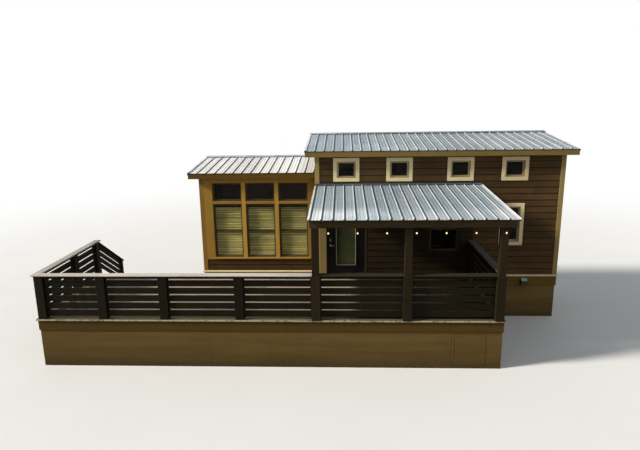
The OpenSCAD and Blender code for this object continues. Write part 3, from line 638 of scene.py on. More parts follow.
class Graph:
    """A short way to add shader nodes and link them."""

    def __init__(self, tree):
        self.tree = tree

    def add(self, kind, settings=None, **links):
        """Adds a node, and links or sets its inputs by name, or by number after the letter i."""
        node = self.tree.nodes.new(kind)
        for key, value in (settings or {}).items():
            setattr(node, key, value)
        self.set(node, **links)
        return node

    def set(self, node, **links):
        """Links or sets inputs of a node. A colour of three values gets its fourth here."""
        for key, value in links.items():
            numbered = key[0] == "i" and key[1:].isdigit()
            socket = node.inputs[int(key[1:]) if numbered else key.replace("_", " ")]
            if isinstance(value, bpy.types.NodeSocket):
                self.tree.links.new(value, socket)
            else:
                socket.default_value = (*value, 1) if socket.type == "RGBA" and len(value) == 3 else value

    def math(self, operation, a, b=0.0, clamp=False):
        return self.add("ShaderNodeMath", {"operation": operation, "use_clamp": clamp}, i0=a, i1=b).outputs[0]

    def times(self, a, b):
        return self.math("MULTIPLY", a, b)

    def plus(self, a, b):
        return self.math("ADD", a, b)

    def spot(self):
        return self.add("ShaderNodeTexCoord").outputs["Object"]

    def mark(self, name):
        return self.add("ShaderNodeAttribute", {"attribute_name": name}).outputs["Fac"]

    def split(self, vector):
        return self.add("ShaderNodeSeparateXYZ", None, Vector=vector).outputs

    def join(self, x, y, z):
        return self.add("ShaderNodeCombineXYZ", None, X=x, Y=y, Z=z).outputs[0]

    def scaled(self, vector, *by):
        return self.add("ShaderNodeVectorMath", {"operation": "MULTIPLY"}, i0=vector, i1=by).outputs[0]

    def sized(self, vector, size):
        return self.add("ShaderNodeVectorMath", {"operation": "SCALE"}, i0=vector, Scale=size).outputs[0]

    def noise(self, vector, scale=1.0, detail=4.0, rough=0.55, warp=0.0):
        return self.add("ShaderNodeTexNoise", None, Vector=vector, Scale=scale, Detail=detail,
                        Roughness=rough, Distortion=warp).outputs[0]

    def steps(self, value, low, high, a=0.0, b=1.0, smooth=False):
        kind = {"interpolation_type": "SMOOTHSTEP"} if smooth else {}
        return self.add("ShaderNodeMapRange", kind, Value=value, From_Min=low, From_Max=high, To_Min=a,
                        To_Max=b).outputs[0]

    def soft(self, value, low, high, a=0.0, b=1.0):
        return self.steps(value, low, high, a, b, True)

    def blend(self, share, a, b, how="MIX"):
        """Mixes two colours. The share may be a pair of a mask and its strength."""
        if isinstance(share, tuple):
            share = self.times(*share)
        kind = {"data_type": "RGBA", "blend_type": how}
        return self.add("ShaderNodeMix", kind, i0=share, i6=a, i7=b).outputs[2]

    def toned(self, base, tone):
        """A colour made lighter or darker by a value."""
        return self.blend(1.0, base, self.join(tone, tone, tone), "MULTIPLY")

    def bump(self, height, strength, distance):
        return self.add("ShaderNodeBump", None, Height=height, Strength=strength,
                        Distance=distance).outputs[0]

    def use(self, name, **links):
        """Outputs of one of the shader node groups."""
        return self.add("ShaderNodeGroup", {"node_tree": GROUPS[name]}, **links).outputs


def new_group(name, outputs, **inputs):
    """An empty shader node group with its graph, its inputs and its output node."""
    tree = bpy.data.node_groups.new(name, "ShaderNodeTree")
    for label, value in inputs.items():
        kind = "NodeSocketVector" if value is None else "NodeSocketFloat"
        socket = tree.interface.new_socket(label, in_out="INPUT", socket_type=kind)
        if value is not None:
            socket.default_value = value
    for label in outputs:
        tree.interface.new_socket(label, in_out="OUTPUT", socket_type="NodeSocketFloat")
    GROUPS[name] = tree
    g = Graph(tree)
    return g, g.add("NodeGroupInput").outputs, g.add("NodeGroupOutput")


def build_grain_group():
    """Wood grain in the plane of a board: Vector is (along, across, 0) in metres."""
    outputs = ("Fibre", "Band", "Knot")
    g, given, result = new_group("board_grain", outputs, Vector=None, Shade=0.5, Along=2.2, Across=42.0)
    x, y, _ = g.split(given["Vector"])
    depth = g.times(given["Shade"], 31.0)
    along, across = g.times(x, given["Along"]), g.times(y, given["Across"])
    fibre = g.noise(g.join(along, across, depth), 1.0, 8.0, 0.66)
    band = g.noise(g.join(g.times(along, 0.35), g.times(across, 0.16), depth), 1.0, 3.0, 0.5, 0.6)
    place = g.join(g.times(x, 2.6), g.times(y, 7.0), depth)
    knot = g.add("ShaderNodeTexVoronoi", None, Vector=place, Scale=1.0, Randomness=1.0).outputs[0]
    g.set(result, Fibre=fibre, Band=band, Knot=g.soft(knot, 0.16, 0.06))


def build_weather_group():
    """Streaks that run down, blotches, and splashes near the ground, on object coordinates."""
    outputs = ("Dirt", "Splash", "Cloud")
    g, given, result = new_group("weather", outputs, Streaks=1.0, Blotches=1.0, Scale=1.0)
    spot = g.spot()
    scaled = g.sized(spot, given["Scale"])
    streak = g.soft(g.noise(g.scaled(scaled, 9.0, 9.0, 0.55), 1.0, 6.0, 0.6), 0.48, 0.78)
    blotch = g.soft(g.noise(scaled, 1.7, 5.0, 0.62), 0.42, 0.75)
    dirt = g.math("ADD", g.times(streak, given["Streaks"]), g.times(blotch, given["Blotches"]), True)
    ragged = g.plus(g.split(spot)[Z], g.times(g.noise(spot, 6.0, 4.0), -0.22))
    g.set(result, Dirt=dirt, Splash=g.soft(ragged, 0.22, -0.10), Cloud=g.noise(scaled, 0.55, 3.0, 0.5))


def build_wear_group():
    """Worn edges: the marked edge faces of a board, broken up, and painted shadow on faces marked below zero.
    """
    g, given, result = new_group("worn_edges", ("Wear", "Soil"), Amount=0.5, Scale=14.0)
    edge = g.mark("edge")
    patch = g.steps(g.noise(g.sized(g.spot(), given["Scale"]), 1.0, 5.0, 0.7), 0.4, 0.62)
    g.set(result, Wear=g.times(g.times(edge, patch), given["Amount"]), Soil=g.steps(edge, 0.0, -1.0))


def new_finish(name):
    """An empty material with its shader and a graph to add to."""
    material = bpy.data.materials.new(name)
    material.use_nodes = True
    return material, Graph(material.node_tree), material.node_tree.nodes["Principled BSDF"]


def board_vector(g, solid_axis):
    """Grain coordinates and shade: the board's own map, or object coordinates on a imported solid."""
    if solid_axis is None:
        return g.add("ShaderNodeUVMap", {"uv_map": "grain"}).outputs[0], g.mark("shade")
    parts = g.split(g.spot())
    a, b = [k for k in range(3) if k != solid_axis]
    return g.join(parts[solid_axis], g.plus(parts[a], parts[b]), 0.0), 0.5


def plank_grooves(g, axis, pitch, wide):
    """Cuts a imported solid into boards: a shade for each, and the grooves between them."""
    place = g.math("DIVIDE", g.split(g.spot())[axis], pitch)
    shade = g.add("ShaderNodeTexWhiteNoise", {"noise_dimensions": "1D"}, W=g.math("FLOOR", place)).outputs[0]
    joint = g.math("ABSOLUTE", g.math("SUBTRACT", g.math("FRACT", place), 0.5))
    return shade, g.soft(joint, 0.5 - wide / pitch, 0.5 - 0.3 * wide / pitch)


def wood_finish(
    name, colour, dark, worn, paint=0.5, shade_range=0.25, rough=0.62, wear=0.5, dirt=0.25, along=2.2,
    across=42.0, relief=0.0006, knots=0.0, solid_axis=None, planks=None, cast=None, scratch=0.0, porch_shade_x=None,
):
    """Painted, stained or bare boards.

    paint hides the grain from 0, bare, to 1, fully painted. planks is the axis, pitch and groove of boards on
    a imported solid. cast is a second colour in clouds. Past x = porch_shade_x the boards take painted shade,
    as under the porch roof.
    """
    material, g, shader = new_finish(name)
    vector, shade = board_vector(g, solid_axis)
    if planks:
        shade, groove = plank_grooves(g, *planks)
    fibre, band, knot = g.use("board_grain", Vector=vector, Shade=shade, Along=along, Across=across)
    dirty, _, cloud = g.use("weather", Streaks=0.55, Blotches=0.45)
    wear_mask, painted_shadow = g.use("worn_edges", Amount=wear)
    show = 1.0 - paint
    base = g.blend((g.steps(fibre, 0.36, 0.66), 0.25 + 0.6 * show), colour, dark)
    base = g.blend((g.steps(band, 0.35, 0.7), 0.15 + 0.5 * show), base, dark)
    if cast:
        base = g.blend(g.soft(cloud, 0.40, 0.62), base, cast)
    if knots:
        base = g.blend((knot, knots), base, times(dark, 0.35))
    base = g.toned(base, g.steps(shade, 0.0, 1.0, 1.0 - shade_range, 1.0 + shade_range))
    base = g.blend((dirty, dirt), base, times(dark, 0.45))
    if porch_shade_x:
        # Painted shade on the boards past this x, as in the shade of the porch roof.
        inside = g.soft(g.split(g.spot())[X], porch_shade_x - 0.15, porch_shade_x + 0.25)
        base = g.blend(inside, base, times(dark, 0.16))
    base = g.blend(wear_mask, base, worn)
    # Painted shadow on faces marked below zero: the top strip of each lap board, under the next board's butt.
    base = g.blend(painted_shadow, base, times(dark, 0.35))
    if scratch:
        base = g.blend((g.steps(fibre, 0.60, 0.74), scratch), base, worn)
    height = g.plus(g.times(fibre, 0.7), g.times(band, 0.5))
    if planks:
        base = g.blend(groove, base, times(dark, 0.3))
        height = g.math("SUBTRACT", height, g.times(groove, 3.0))
    g.set(shader, Base_Color=base, Roughness=g.steps(fibre, 0.3, 0.7, rough - 0.09, rough + 0.12),
          Specular_IOR_Level=0.12, Normal=g.bump(height, 0.6, relief))
    return material


def panel_finish(name, colour):
    """Painted skirt panels: level brush marks and streaks, faint runs, and splashes near the ground."""
    material, g, shader = new_finish(name)
    spot = g.spot()
    broad = g.noise(g.scaled(spot, 0.45, 0.45, 5.0), 1.0, 5.0, 0.6)
    brushed = g.noise(g.scaled(spot, 1.6, 1.6, 52.0), 1.0, 5.0, 0.7)
    runs = g.noise(g.scaled(spot, 14.0, 14.0, 0.7), 1.0, 4.0, 0.6)
    dirty, splash, _ = g.use("weather", Streaks=0.25, Blotches=0.75)
    light, deep = times(colour, 1.22), times(colour, 0.74)
    base = g.blend(0.55, g.blend(g.soft(broad, 0.36, 0.66), deep, light), colour)
    base = g.blend((g.steps(brushed, 0.52, 0.72), 0.42), base, light)
    base = g.blend((g.steps(brushed, 0.48, 0.30), 0.42), base, deep)
    base = g.blend((g.soft(runs, 0.56, 0.78), 0.22), base, deep)
    base = g.toned(base, g.steps(g.mark("shade"), 0.0, 1.0, 0.97, 1.03))
    base = g.blend((dirty, 0.16), base, times(colour, 0.5))
    base = g.blend((splash, 0.40), base, tint(76, 66, 50))
    base = g.blend(g.use("worn_edges", Amount=0.4)["Wear"], base, light)
    # The lower part of the skirts takes less light from the sky.
    base = g.toned(base, g.steps(g.split(spot)[Z], 0.0, 0.62, 0.68, 1.0))
    uneven = g.plus(brushed, g.times(broad, 2.0))
    g.set(shader, Base_Color=base, Roughness=g.steps(brushed, 0.3, 0.7, 0.55, 0.72), Specular_IOR_Level=0.12,
          Normal=g.bump(uneven, 0.4, 0.0006))
    return material


def sheet_finish(name, colour, up_slope=True, painted_top_shadow=None, shade_along_x=None, contrast=1.0):
    """Coated roof sheet: rolling streaks, panel shades, and painted highlight and painted shadow on the
    marked rib sides and sheet ends.

    painted_top_shadow is the pair of heights between which painted shadow starts at the top. shade_along_x is
    where a painted shade starts and ends along x, and how bright it is at its end.
    """
    material, g, shader = new_finish(name)
    spot = g.spot()
    x, _, z = g.split(spot)
    cool = times(colour, *(1.0 - contrast * share for share in (0.42, 0.33, 0.24)))
    pale = tuple(min(0.95, c * 1.5) for c in colour)
    wide, fine = (24.0, 0.4, 0.4), (70.0, 0.9, 0.9)
    if not up_slope:
        wide, fine = wide[::-1], fine[::-1]
    streak = g.noise(g.scaled(spot, *wide), 1.0, 4.0, 0.6)
    line = g.noise(g.scaled(spot, *fine), 1.0, 3.0, 0.6)
    cloud = g.noise(g.scaled(spot, 0.9, 0.6, 0.6), 1.0, 4.0, 0.6)
    base = g.blend(g.soft(streak, 0.42, 0.66), colour, cool)
    base = g.blend((g.soft(line, 0.50, 0.66), 0.35), base, pale)
    base = g.blend((g.soft(line, 0.44, 0.30), 0.25), base, cool)
    base = g.blend((g.soft(cloud, 0.46, 0.62), 0.75), base, pale)
    tone = g.steps(g.mark("shade"), 0.0, 1.0, 0.84, 1.10)
    if shade_along_x:
        # Painted shade along x: the sheet darkens between two places to the given share.
        tone = g.times(tone, g.soft(x, shade_along_x[0], shade_along_x[1], 1.0, shade_along_x[2]))
    base = g.toned(base, tone)
    spangle = g.add("ShaderNodeTexVoronoi", {"feature": "F1"}, Vector=spot, Scale=160.0).outputs["Color"]
    base = g.blend((g.add("ShaderNodeSeparateColor", None, Color=spangle).outputs[0], 0.10), base, pale)
    base = g.blend((g.use("weather", Streaks=0.2, Blotches=0.6)["Dirt"], 0.12), base, DUST)
    if painted_top_shadow:
        # Painted shadow near the top of the slope, as the shade of the wall and roof above.
        base = g.blend((g.soft(z, *painted_top_shadow), 0.62), base, times(cool, 0.45))
    mark = g.mark("edge")
    patchy = g.steps(g.noise(g.scaled(spot, 8.0, 1.6, 8.0), 1.0, 4.0, 0.6), 0.25, 0.6, 0.88, 1.0)
    # Painted highlight on faces marked below zero: the left slopes of the ribs and the sheet's lower end.
    # Painted shadow on faces marked above zero: the right slopes, the flat beside them and the cut ends.
    base = g.blend((g.steps(mark, 0.0, -1.0), patchy), base, (0.93, 0.95, 0.96))
    base = g.blend((g.steps(mark, 0.0, 1.0), patchy), base, tint(20, 33, 40))
    uneven = g.plus(g.times(streak, 0.6), g.times(cloud, 0.4))
    dents = g.plus(g.times(cloud, 3.0), streak)
    g.set(shader, Base_Color=base, Metallic=0.10, Specular_IOR_Level=0.25,
          Roughness=g.steps(uneven, 0.3, 0.7, 0.35, 0.52), Normal=g.bump(dents, 0.35, 0.0012))
    return material


def fitting_finish(name, colour, rough, brushed=0.0):
    """Screws, hinges and levers: brushed or cast metal with fine scratches and handling marks."""
    material, g, shader = new_finish(name)
    spot = g.spot()
    lines = g.noise(g.scaled(spot, 240.0, 240.0, 8.0), 1.0, 3.0, 0.6)
    smear = g.noise(spot, 34.0, 4.0, 0.6)
    base = g.blend((g.steps(lines, 0.3, 0.7), 0.3 + brushed * 0.4), colour, times(colour, 0.72))
    base = g.blend((g.steps(smear, 0.5, 0.75), 0.35), base, times(colour, 0.6))
    g.set(shader, Base_Color=base, Metallic=1.0, Normal=g.bump(lines, 0.15 + brushed * 0.3, 0.0002),
          Roughness=g.steps(smear, 0.3, 0.7, rough - 0.06, rough + 0.14))
    return material


def paint_finish(name, colour, rough, coat=0.0, dust=0.2, shade_range=0.05):
    """Smooth paint or moulded plastic with orange peel, dust and rubbed edges."""
    material, g, shader = new_finish(name)
    spot = g.spot()
    peel = g.noise(spot, 210.0, 3.0, 0.5)
    cloud = g.noise(spot, 3.2, 4.0, 0.6)
    dirty = g.use("weather", Streaks=0.5, Blotches=0.5, Scale=2.0)["Dirt"]
    rubbed = g.use("worn_edges", Amount=0.35, Scale=30.0)["Wear"]
    base = g.blend(g.steps(cloud, 0.35, 0.7), colour, times(colour, 0.82))
    base = g.toned(base, g.steps(g.mark("shade"), 0.0, 1.0, 1.0 - shade_range, 1.0 + shade_range))
    base = g.blend((dirty, dust), base, tint(112, 100, 82))
    base = g.blend(rubbed, base, tuple(min(1, c * 1.4 + 0.03) for c in colour))
    g.set(shader, Base_Color=base, Roughness=g.steps(cloud, 0.3, 0.7, rough - 0.06, rough + 0.10),
          Coat_Weight=coat, Specular_IOR_Level=0.2, Normal=g.bump(peel, 0.25, 0.0003))
    return material


def glass_finish(name, colour, rough=0.02):
    """Window glass that lets light through, with faint waves and dust."""
    material, g, shader = new_finish(name)
    spot = g.spot()
    dust = g.soft(g.noise(g.scaled(spot, 5, 5, 1.2), 1.0, 6.0, 0.65), 0.45, 0.8)
    g.set(shader, Base_Color=g.blend((dust, 0.04), colour, tint(190, 184, 170)), Transmission_Weight=1.0,
          IOR=1.24, Roughness=g.steps(dust, 0.0, 1.0, rough, rough + 0.10),
          Normal=g.bump(g.noise(spot, 2.4, 2.0, 0.5), 0.12, 0.004))
    clear = g.add("ShaderNodeBsdfTransparent", None, Color=colour).outputs[0]
    shadow = g.add("ShaderNodeLightPath").outputs["Is Shadow Ray"]
    mixed = g.add("ShaderNodeMixShader", None, i0=shadow, i1=shader.outputs[0], i2=clear)
    g.set(g.tree.nodes["Material Output"], i0=mixed.outputs[0])
    return material


def bulb_finish(name, glow):
    """A lit lamp of warm glass, brighter round its filament."""
    material, g, shader = new_finish(name)
    frost = g.steps(g.noise(g.spot(), 60.0, 3.0, 0.5), 0.3, 0.7)
    facing = g.add("ShaderNodeLayerWeight", None, Blend=0.5).outputs["Facing"]
    g.set(shader, Base_Color=g.blend(frost, tint(120, 92, 60), tint(96, 72, 46)), Roughness=0.25,
          Emission_Color=g.blend(frost, tint(255, 214, 150), tint(255, 190, 110)),
          Emission_Strength=g.soft(facing, 0.0, 0.42, glow, glow * 0.04))
    return material


def painted_boards(look):
    """Trim boards and bands: thick paint over the grain."""
    trim, corner = tuple(look.trim), tuple(look.corner)
    for key, name, colour in (
        ("casing", "pale_casing_paint", look.casing),
        ("fascia", "fascia_paint", look.fascia),
        ("band", "band_board_paint", look.band),
        ("corner", "corner_board_paint", corner),
        ("trim", "tan_trim_paint", times(trim, 0.92)),
        # The mullions between the annex windows take a lighter copy of the trim paint: painted sunlight.
        ("mullion", "sunny_trim_paint", times(trim, 1.30)),
        # The annex corner boards take a darker copy of the trim paint: painted shade.
        ("annex_corner", "annex_corner_paint", times(trim, 0.66)),
        ("annex_fascia", "annex_fascia_paint", tint(112, 82, 28)),
        # The wide board beside the door takes a darker copy of the corner paint: painted shade of the porch.
        ("door_side", "door_side_paint", times(corner, 0.68)),
        # A lighter copy of the band paint for the house: painted light against the shade cast on the house's
        # bands.
        ("house_band", "house_band_paint", times(look.band, 1.9)),
        ("jamb_trim", "door_casing_stain", tint(66, 54, 38)),
        # The porch window's casing is painted dark brown: painted shade of the porch.
        ("hidden_casing", "porch_casing_stain", tint(44, 34, 24)),
    ):
        colour = tuple(colour)
        dark, worn = times(colour, 0.72), times(colour, 1.5)
        FINISH[key] = wood_finish(name, colour, dark, worn, 0.72, 0.08, 0.55, 0.45, 0.30)
    FINISH["skirt"] = panel_finish("tan_skirt_paint", tuple(look.skirt))
    # A lighter copy of the skirt paint for the house: painted light against the shade cast on the house's
    # skirts.
    FINISH["house_skirt"] = panel_finish("house_skirt_paint", times(look.skirt, 1.35))


def stained_boards(look):
    """Lap boards, rails, posts and beam: stain that shows the grain."""
    brown = tuple(look.siding)
    for key, name, colour, scratch in (
        ("siding", "brown_lap_stain", brown, 0.7),
        # A darker copy of the brown stain: painted shade for the boards under the porch roof.
        ("deep_siding", "unfaded_lap_stain", times(brown, 0.34, 0.38, 0.42), 0.15),
    ):
        half, worn = times(colour, 0.50), times(colour, 2.1, 2.0, 1.9)
        FINISH[key] = wood_finish(name, colour, half, worn, 0.20, 0.20, 0.6, 0.3, 0.30, 3.2, 90.0, 0.0009,
                                  cast=times(colour, 1.14, 1.12, 1.12), scratch=scratch)
    for key, name, colour, worn, shade_range, across in (
        ("rail", "dark_rail_stain", tuple(look.rail), 2.2, 0.20, 55.0),
        ("porch", "dark_porch_stain", tuple(look.porch), 2.0, 0.18, 50.0),
        # The beam takes a lighter copy of the porch stain: painted light against the shade of the roof's
        # overhang.
        ("beam", "beam_stain", times(look.porch, 3.3), 1.8, 0.12, 50.0),
    ):
        FINISH[key] = wood_finish(name, colour, times(colour, 0.55), times(colour, worn), 0.4, shade_range,
                                  0.58, 0.4, 0.2, 1.8, across, 0.0008, 0.4)


def bare_boards(look):
    """Weathered caps, deck boards and edge, treads and joists, and the boards inside the house."""
    cap, edge, tan = tuple(look.cap), tuple(look.deck_edge), tuple(look.trim)
    for key, name, colour, dark, cast in (
        ("cap", "weathered_cap_wood", cap, 0.46, 0.74),
        # The side caps take a darker copy of the cap colour: painted shade.
        ("side_cap", "grey_cap_wood", times(cap, 0.62), 0.46, 0.62),
        # The caps under the porch take a dark brown: painted shade of the porch roof.
        ("shade_cap", "stained_cap_wood", tint(70, 62, 46), 0.5, 0.6),
        ("inner_cap", "unlit_cap_wood", tint(120, 118, 114), 0.5, 0.7),
    ):
        FINISH[key] = wood_finish(name, colour, times(colour, dark), times(colour, 1.35), 0.2, 0.16, 0.78,
                                  0.5, 0.35, 1.4, 75.0, 0.0012, 0.6, cast=times(colour, cast))
    # The edge's worn colour, on its marked outer face, is partly wear and partly a painted highlight.
    FINISH["edge"] = wood_finish("pale_deck_edge_wood", edge, times(edge, 0.5), times(edge, 2.5, 2.9, 3.4),
                                 0.1, 0.14, 0.74, 1.6, 0.35, 1.4, 60.0, 0.001, 0.4)
    # The deck boards take painted shade past x = 0.62, under the porch roof; the treads take none.
    for key, porch_shade_x in (("deck", 0.62), ("tread", None)):
        FINISH[key] = wood_finish("worn_deck_wood", tint(196, 182, 164), tint(122, 108, 92),
                                  tint(214, 204, 188), 0.1, 0.2, 0.74, 0.5, 0.4, 1.4, 70.0, 0.0012, 0.5,
                                  porch_shade_x=porch_shade_x)
    FINISH["hidden"] = wood_finish("joist_wood", tint(150, 120, 84), tint(104, 78, 50), tint(170, 140, 100),
                                   0.0, 0.2, 0.8, 0.2, 0.3)
    FINISH["floor"] = wood_finish("floor_planks", tint(120, 88, 54), tint(76, 52, 32), tint(140, 110, 76),
                                  0.2, 0.2, 0.42, 0.0, 0.1, solid_axis=X, planks=(Y, 0.12, 0.003))
    FINISH["lining"] = wood_finish("brown_wall_planks", tint(92, 74, 52), tint(66, 50, 34),
                                   tint(120, 100, 74), 0.6, 0.05, 0.5, 0.0, 0.08, solid_axis=X,
                                   planks=(Z, 0.15, 0.004))
    FINISH["soffit"] = wood_finish("soffit_boards", times(tan, 0.95), times(tan, 0.62), tan,
                                   0.6, 0.08, 0.6, 0.0, 0.2, solid_axis=X, planks=(Y, 0.14, 0.004))


def sheets_and_flashings(look):
    """The three roofs' sheets, and the flashings along their edges."""
    metal = tuple(look.metal)
    painted_top_shadow = (PORCH_TOP - 0.20, PORCH_TOP - 0.15)
    f = FINISH
    # The main sheet darkens along x with painted shade. The porch sheet is a lighter copy that paints light
    # on its left end, with painted shade to the right and painted shadow at its top.
    f["metal"] = sheet_finish("ribbed_roof_sheet", metal, shade_along_x=(-3.0, 4.0, 0.34))
    # The annex sheet is a near-white copy of the roof sheet: painted sunlight.
    f["annex_metal"] = sheet_finish("bright_roof_sheet", tuple(look.annex_metal), contrast=0.30)
    f["porch_metal"] = sheet_finish("porch_roof_sheet", times(metal, 1.45), painted_top_shadow=painted_top_shadow, shade_along_x=(0.3, 1.9, 0.62))
    # The wall flashing over the porch roof is painted dark: painted shade.
    f["apron"] = sheet_finish("dull_wall_flashing", tint(92, 104, 112), False)
    f["drip"] = sheet_finish("shaded_flashing", tint(72, 66, 54), False)
    f["flash"] = sheet_finish("bright_flashing", tint(214, 220, 222), False)


def smooth_finishes(look):
    """Door, sashes, blinds, plastics, fittings, glass and lamps."""
    for key, name, colour, rough, coat, dust, shade_range in (
        ("door", "black_door_paint", (8, 8, 9), 0.42, 0.03, 0.02, 0.05),
        ("lite", "pale_lite_bead", (170, 174, 150), 0.4, 0.0, 0.2, 0.05),
        ("bronze", "dark_sash", (86, 72, 44), 0.45, 0.0, 0.25, 0.05),
        ("taupe", "taupe_sash", (190, 168, 124), 0.48, 0.0, 0.22, 0.05),
        ("blind", "blind_slats", (226, 208, 138), 0.55, 0.0, 0.12, 0.30),
        ("door_blind", "door_blind_slats", (70, 73, 44), 0.55, 0.0, 0.12, 0.06),
        ("vent", "vent_flap_plastic", (70, 76, 62), 0.5, 0.0, 0.2, 0.05),
        # The hood top takes a pale copy of the vent plastic: a painted highlight.
        ("pale_vent", "vent_hood_plastic", (176, 186, 166), 0.5, 0.0, 0.3, 0.05),
        ("rubber", "black_rubber", (20, 20, 20), 0.7, 0.0, 0.2, 0.05),
    ):
        FINISH[key] = paint_finish(name, tint(*colour), rough, coat, dust, shade_range)
    FINISH["zinc"] = fitting_finish("zinc_screws", tint(168, 170, 172), 0.38)
    FINISH["nickel"] = fitting_finish("satin_nickel", tint(186, 182, 172), 0.28, 0.4)
    FINISH["dark_screw"] = fitting_finish("dark_screws", tint(70, 64, 56), 0.45)
    FINISH["glass"] = glass_finish("window_pane", tint(226, 230, 224))
    FINISH["bulb"] = bulb_finish("lit_bulb", look.bulb_glow)


# Walls

THIN = 0.001
LAP_SHADE = 0.020
DRIP = 0.0015


def free_runs(x0, x1, za, zb, holes):
    """Stretches from x0 to x1 that no hole crosses between two heights."""
    runs = [(x0, x1)]
    for hx0, hx1, hz0, hz1 in holes:
        if hz1 <= za + THIN or hz0 >= zb - THIN:
            continue
        left = []
        for a, b in runs:
            if hx1 <= a or hx0 >= b:
                left.append((a, b))
                continue
            if hx0 > a:
                left.append((a, hx0))
            if hx1 < b:
                left.append((hx1, b))
        runs = left
    return [(a, b) for a, b in runs if b - a > 0.004]


def lap_levels(z, top, holes):
    """Heights at which a lap board is parted: its ends, its shaded top, and the ends of holes."""
    levels = [z]
    for level in sorted({top - LAP_SHADE, *(v for hole in holes for v in hole[2:])}):
        if levels[-1] + THIN < level < top - THIN:
            levels.append(level)
    return levels + [top]


def lap_part(s, z, top, low, high):
    """Outline, wear and painted shadow marks of a lap board between two of its levels, as (out, z) pairs."""
    share = [1 - (v - z) / s.exposure for v in (low, high)]
    out = [s.top_t + (s.butt_t - s.top_t) * v for v in share]
    # The top strip of each lap board is marked for painted shadow under the next board's butt.
    shadow = -0.9 if low > top - LAP_SHADE - THIN else 0.0
    if low == z:
        ring = [(0, low), (out[0] - DRIP, low), (out[0], low + DRIP), (out[1], high), (0, high)]
        return ring, [0.6, 0.0, shadow, 0.0, 0.0]
    return [(0, low), (out[0], low), (out[1], high), (0, high)], [0.0, shadow, 0.0, 0.0]


def lap_boards(shape, x0, x1, z0, z1, holes, pose, s, shaded=None):
    """Lap boards on a wall plane. pose(x, out, z) gives the point: x along the wall, out from it.

    shaded is a rectangle x0, x1, z0, z1 whose boards take the shape's second finish, a darker copy of the
    stain that paints the porch roof's shade.
    """
    z = z0
    draw = random.Random(int(abs(x0) * 100 + z1 * 1000))
    while z < z1 - 0.01:
        top = min(z + s.exposure, z1)
        joints, x = [], x0 + draw.uniform(0.8, 3.4)
        while x < x1 - 0.5:
            joints.append(x)
            x += draw.uniform(2.6, 3.66)
        stops = [x0] + joints + [x1]
        levels = lap_levels(z, top, holes)
        for a, b in zip(stops, stops[1:]):
            shade = draw.random()
            a, b = a + (0.0008 if a > x0 else 0), b - (0.0008 if b < x1 else 0)
            for low, high in zip(levels, levels[1:]):
                runs = free_runs(a, b, low, high, holes)
                deep = shaded and shaded[2] <= low < shaded[3]
                if deep:
                    edge = shaded[1]
                    runs = [pair for c, d in runs for pair in ((c, min(d, edge)), (max(c, edge), d))]
                ring, marks = lap_part(s, z, top, low, high)
                for c, d in runs:
                    if d > c:
                        part = 1 if deep and d <= edge else 0
                        shape.prism(ring, c, d, X, shade, part, lambda p: pose(*p), marks)
        z += s.exposure


def around(x, z, w, h, out=CASING):
    """The rectangle that a window and its casing take of a wall."""
    return (x - w / 2 - out, x + w / 2 + out, z - out, z + h + out)


def cut_boards(x0, x1, z0, z1, pose, s, *planes):
    """Lap boards of an end wall, cut along roof planes."""
    work = Shape()
    lap_boards(work, x0, x1, z0, z1, [], pose, s)
    mesh = work.mesh("end", HERE)
    for point, normal in planes:
        cut_off(mesh, point, normal)
    return mesh


def build_front_boards(s):
    """Lap boards of the front, round the door and the windows, with painted shade on the boards under the
    porch.
    """
    boards = Shape(11)
    holes = [(DOOR_SIDE, DOOR_END + 0.036, FLOOR, HEAD + 0.036)]
    holes += [around(*window) for window in (*HIGH, SIDE_WIN, PORCH_WIN)]
    holes.append((-0.1, PORCH.x1, LEDGER_LOW, FLASH_Z + FLASH_H + 0.001))
    shaded = (CORNER_W, DECK_R, WALL_START, LEDGER_LOW)
    lap_boards(boards, CORNER_W, LENGTH - CORNER_W, WALL_START, main_under(0), holes,
               lambda x, out, z: (x, -out, z), s, shaded)
    boards.piece("front_lap_boards", "siding deep_siding", "brown_siding")


def build_end_boards(s):
    """Lap boards of the main body's right end, and of its left end over the annex roof."""
    x0, x1, top = CORNER_W, DEPTH - CORNER_W, main_under(DEPTH) + 0.02
    under_roof = ((0, 0, main_under(0)), (0, -MAIN.rise, 1))
    right = Shape(12)
    right.absorb(cut_boards(x0, x1, WALL_START, top, lambda y, out, z: (LENGTH + out, y, z), s, under_roof))
    right.piece("right_lap_boards", "siding", "brown_siding")
    over_annex = ((0, ANNEX.y0, ANNEX.z0 + 0.02), (0, ANNEX.rise, -1))
    hidden = math.floor((ANNEX.top(CORNER_W) - WALL_START) / s.exposure)
    low = WALL_START + hidden * s.exposure
    left = Shape(14)
    left.absorb(cut_boards(x0, x1, low, top, lambda y, out, z: (-out, DEPTH - y, z), s,
                           under_roof, over_annex))
    left.piece("left_lap_boards", "siding", "brown_siding")


def build_back_boards(s):
    """Lap boards of the back, under the main roof and under the annex roof."""
    boards = Shape(16)
    main, annex = (-LENGTH + CORNER_W, 0, main_under(DEPTH)), (0, -ANNEX_X - CORNER_W, annex_under(DEPTH))
    for x0, x1, top in (main, annex):
        lap_boards(boards, x0, x1, WALL_START, top, [], lambda x, out, z: (-x, DEPTH + out, z), s)
    boards.piece("back_lap_boards", "siding", "brown_siding")


def build_annex_boards(s):
    """Lap boards under the annex windows and on its left end."""
    boards = Shape(17)
    lap_boards(boards, ANNEX_X + CORNER_W, -TRIM, WALL_START, BAY_Z - 0.060, [],
               lambda x, out, z: (x, ANNEX_Y - out, z), s)
    boards.absorb(cut_boards(
        ANNEX_Y + CORNER_W, DEPTH - CORNER_W, WALL_START, annex_under(DEPTH) + 0.02,
        lambda y, out, z: (ANNEX_X - out, ANNEX_Y + DEPTH - y, z), s,
        ((0, 0, annex_under(0)), (0, -ANNEX.rise, 1)),
    ))
    boards.piece("annex_lap_boards", "siding", "tan_siding")


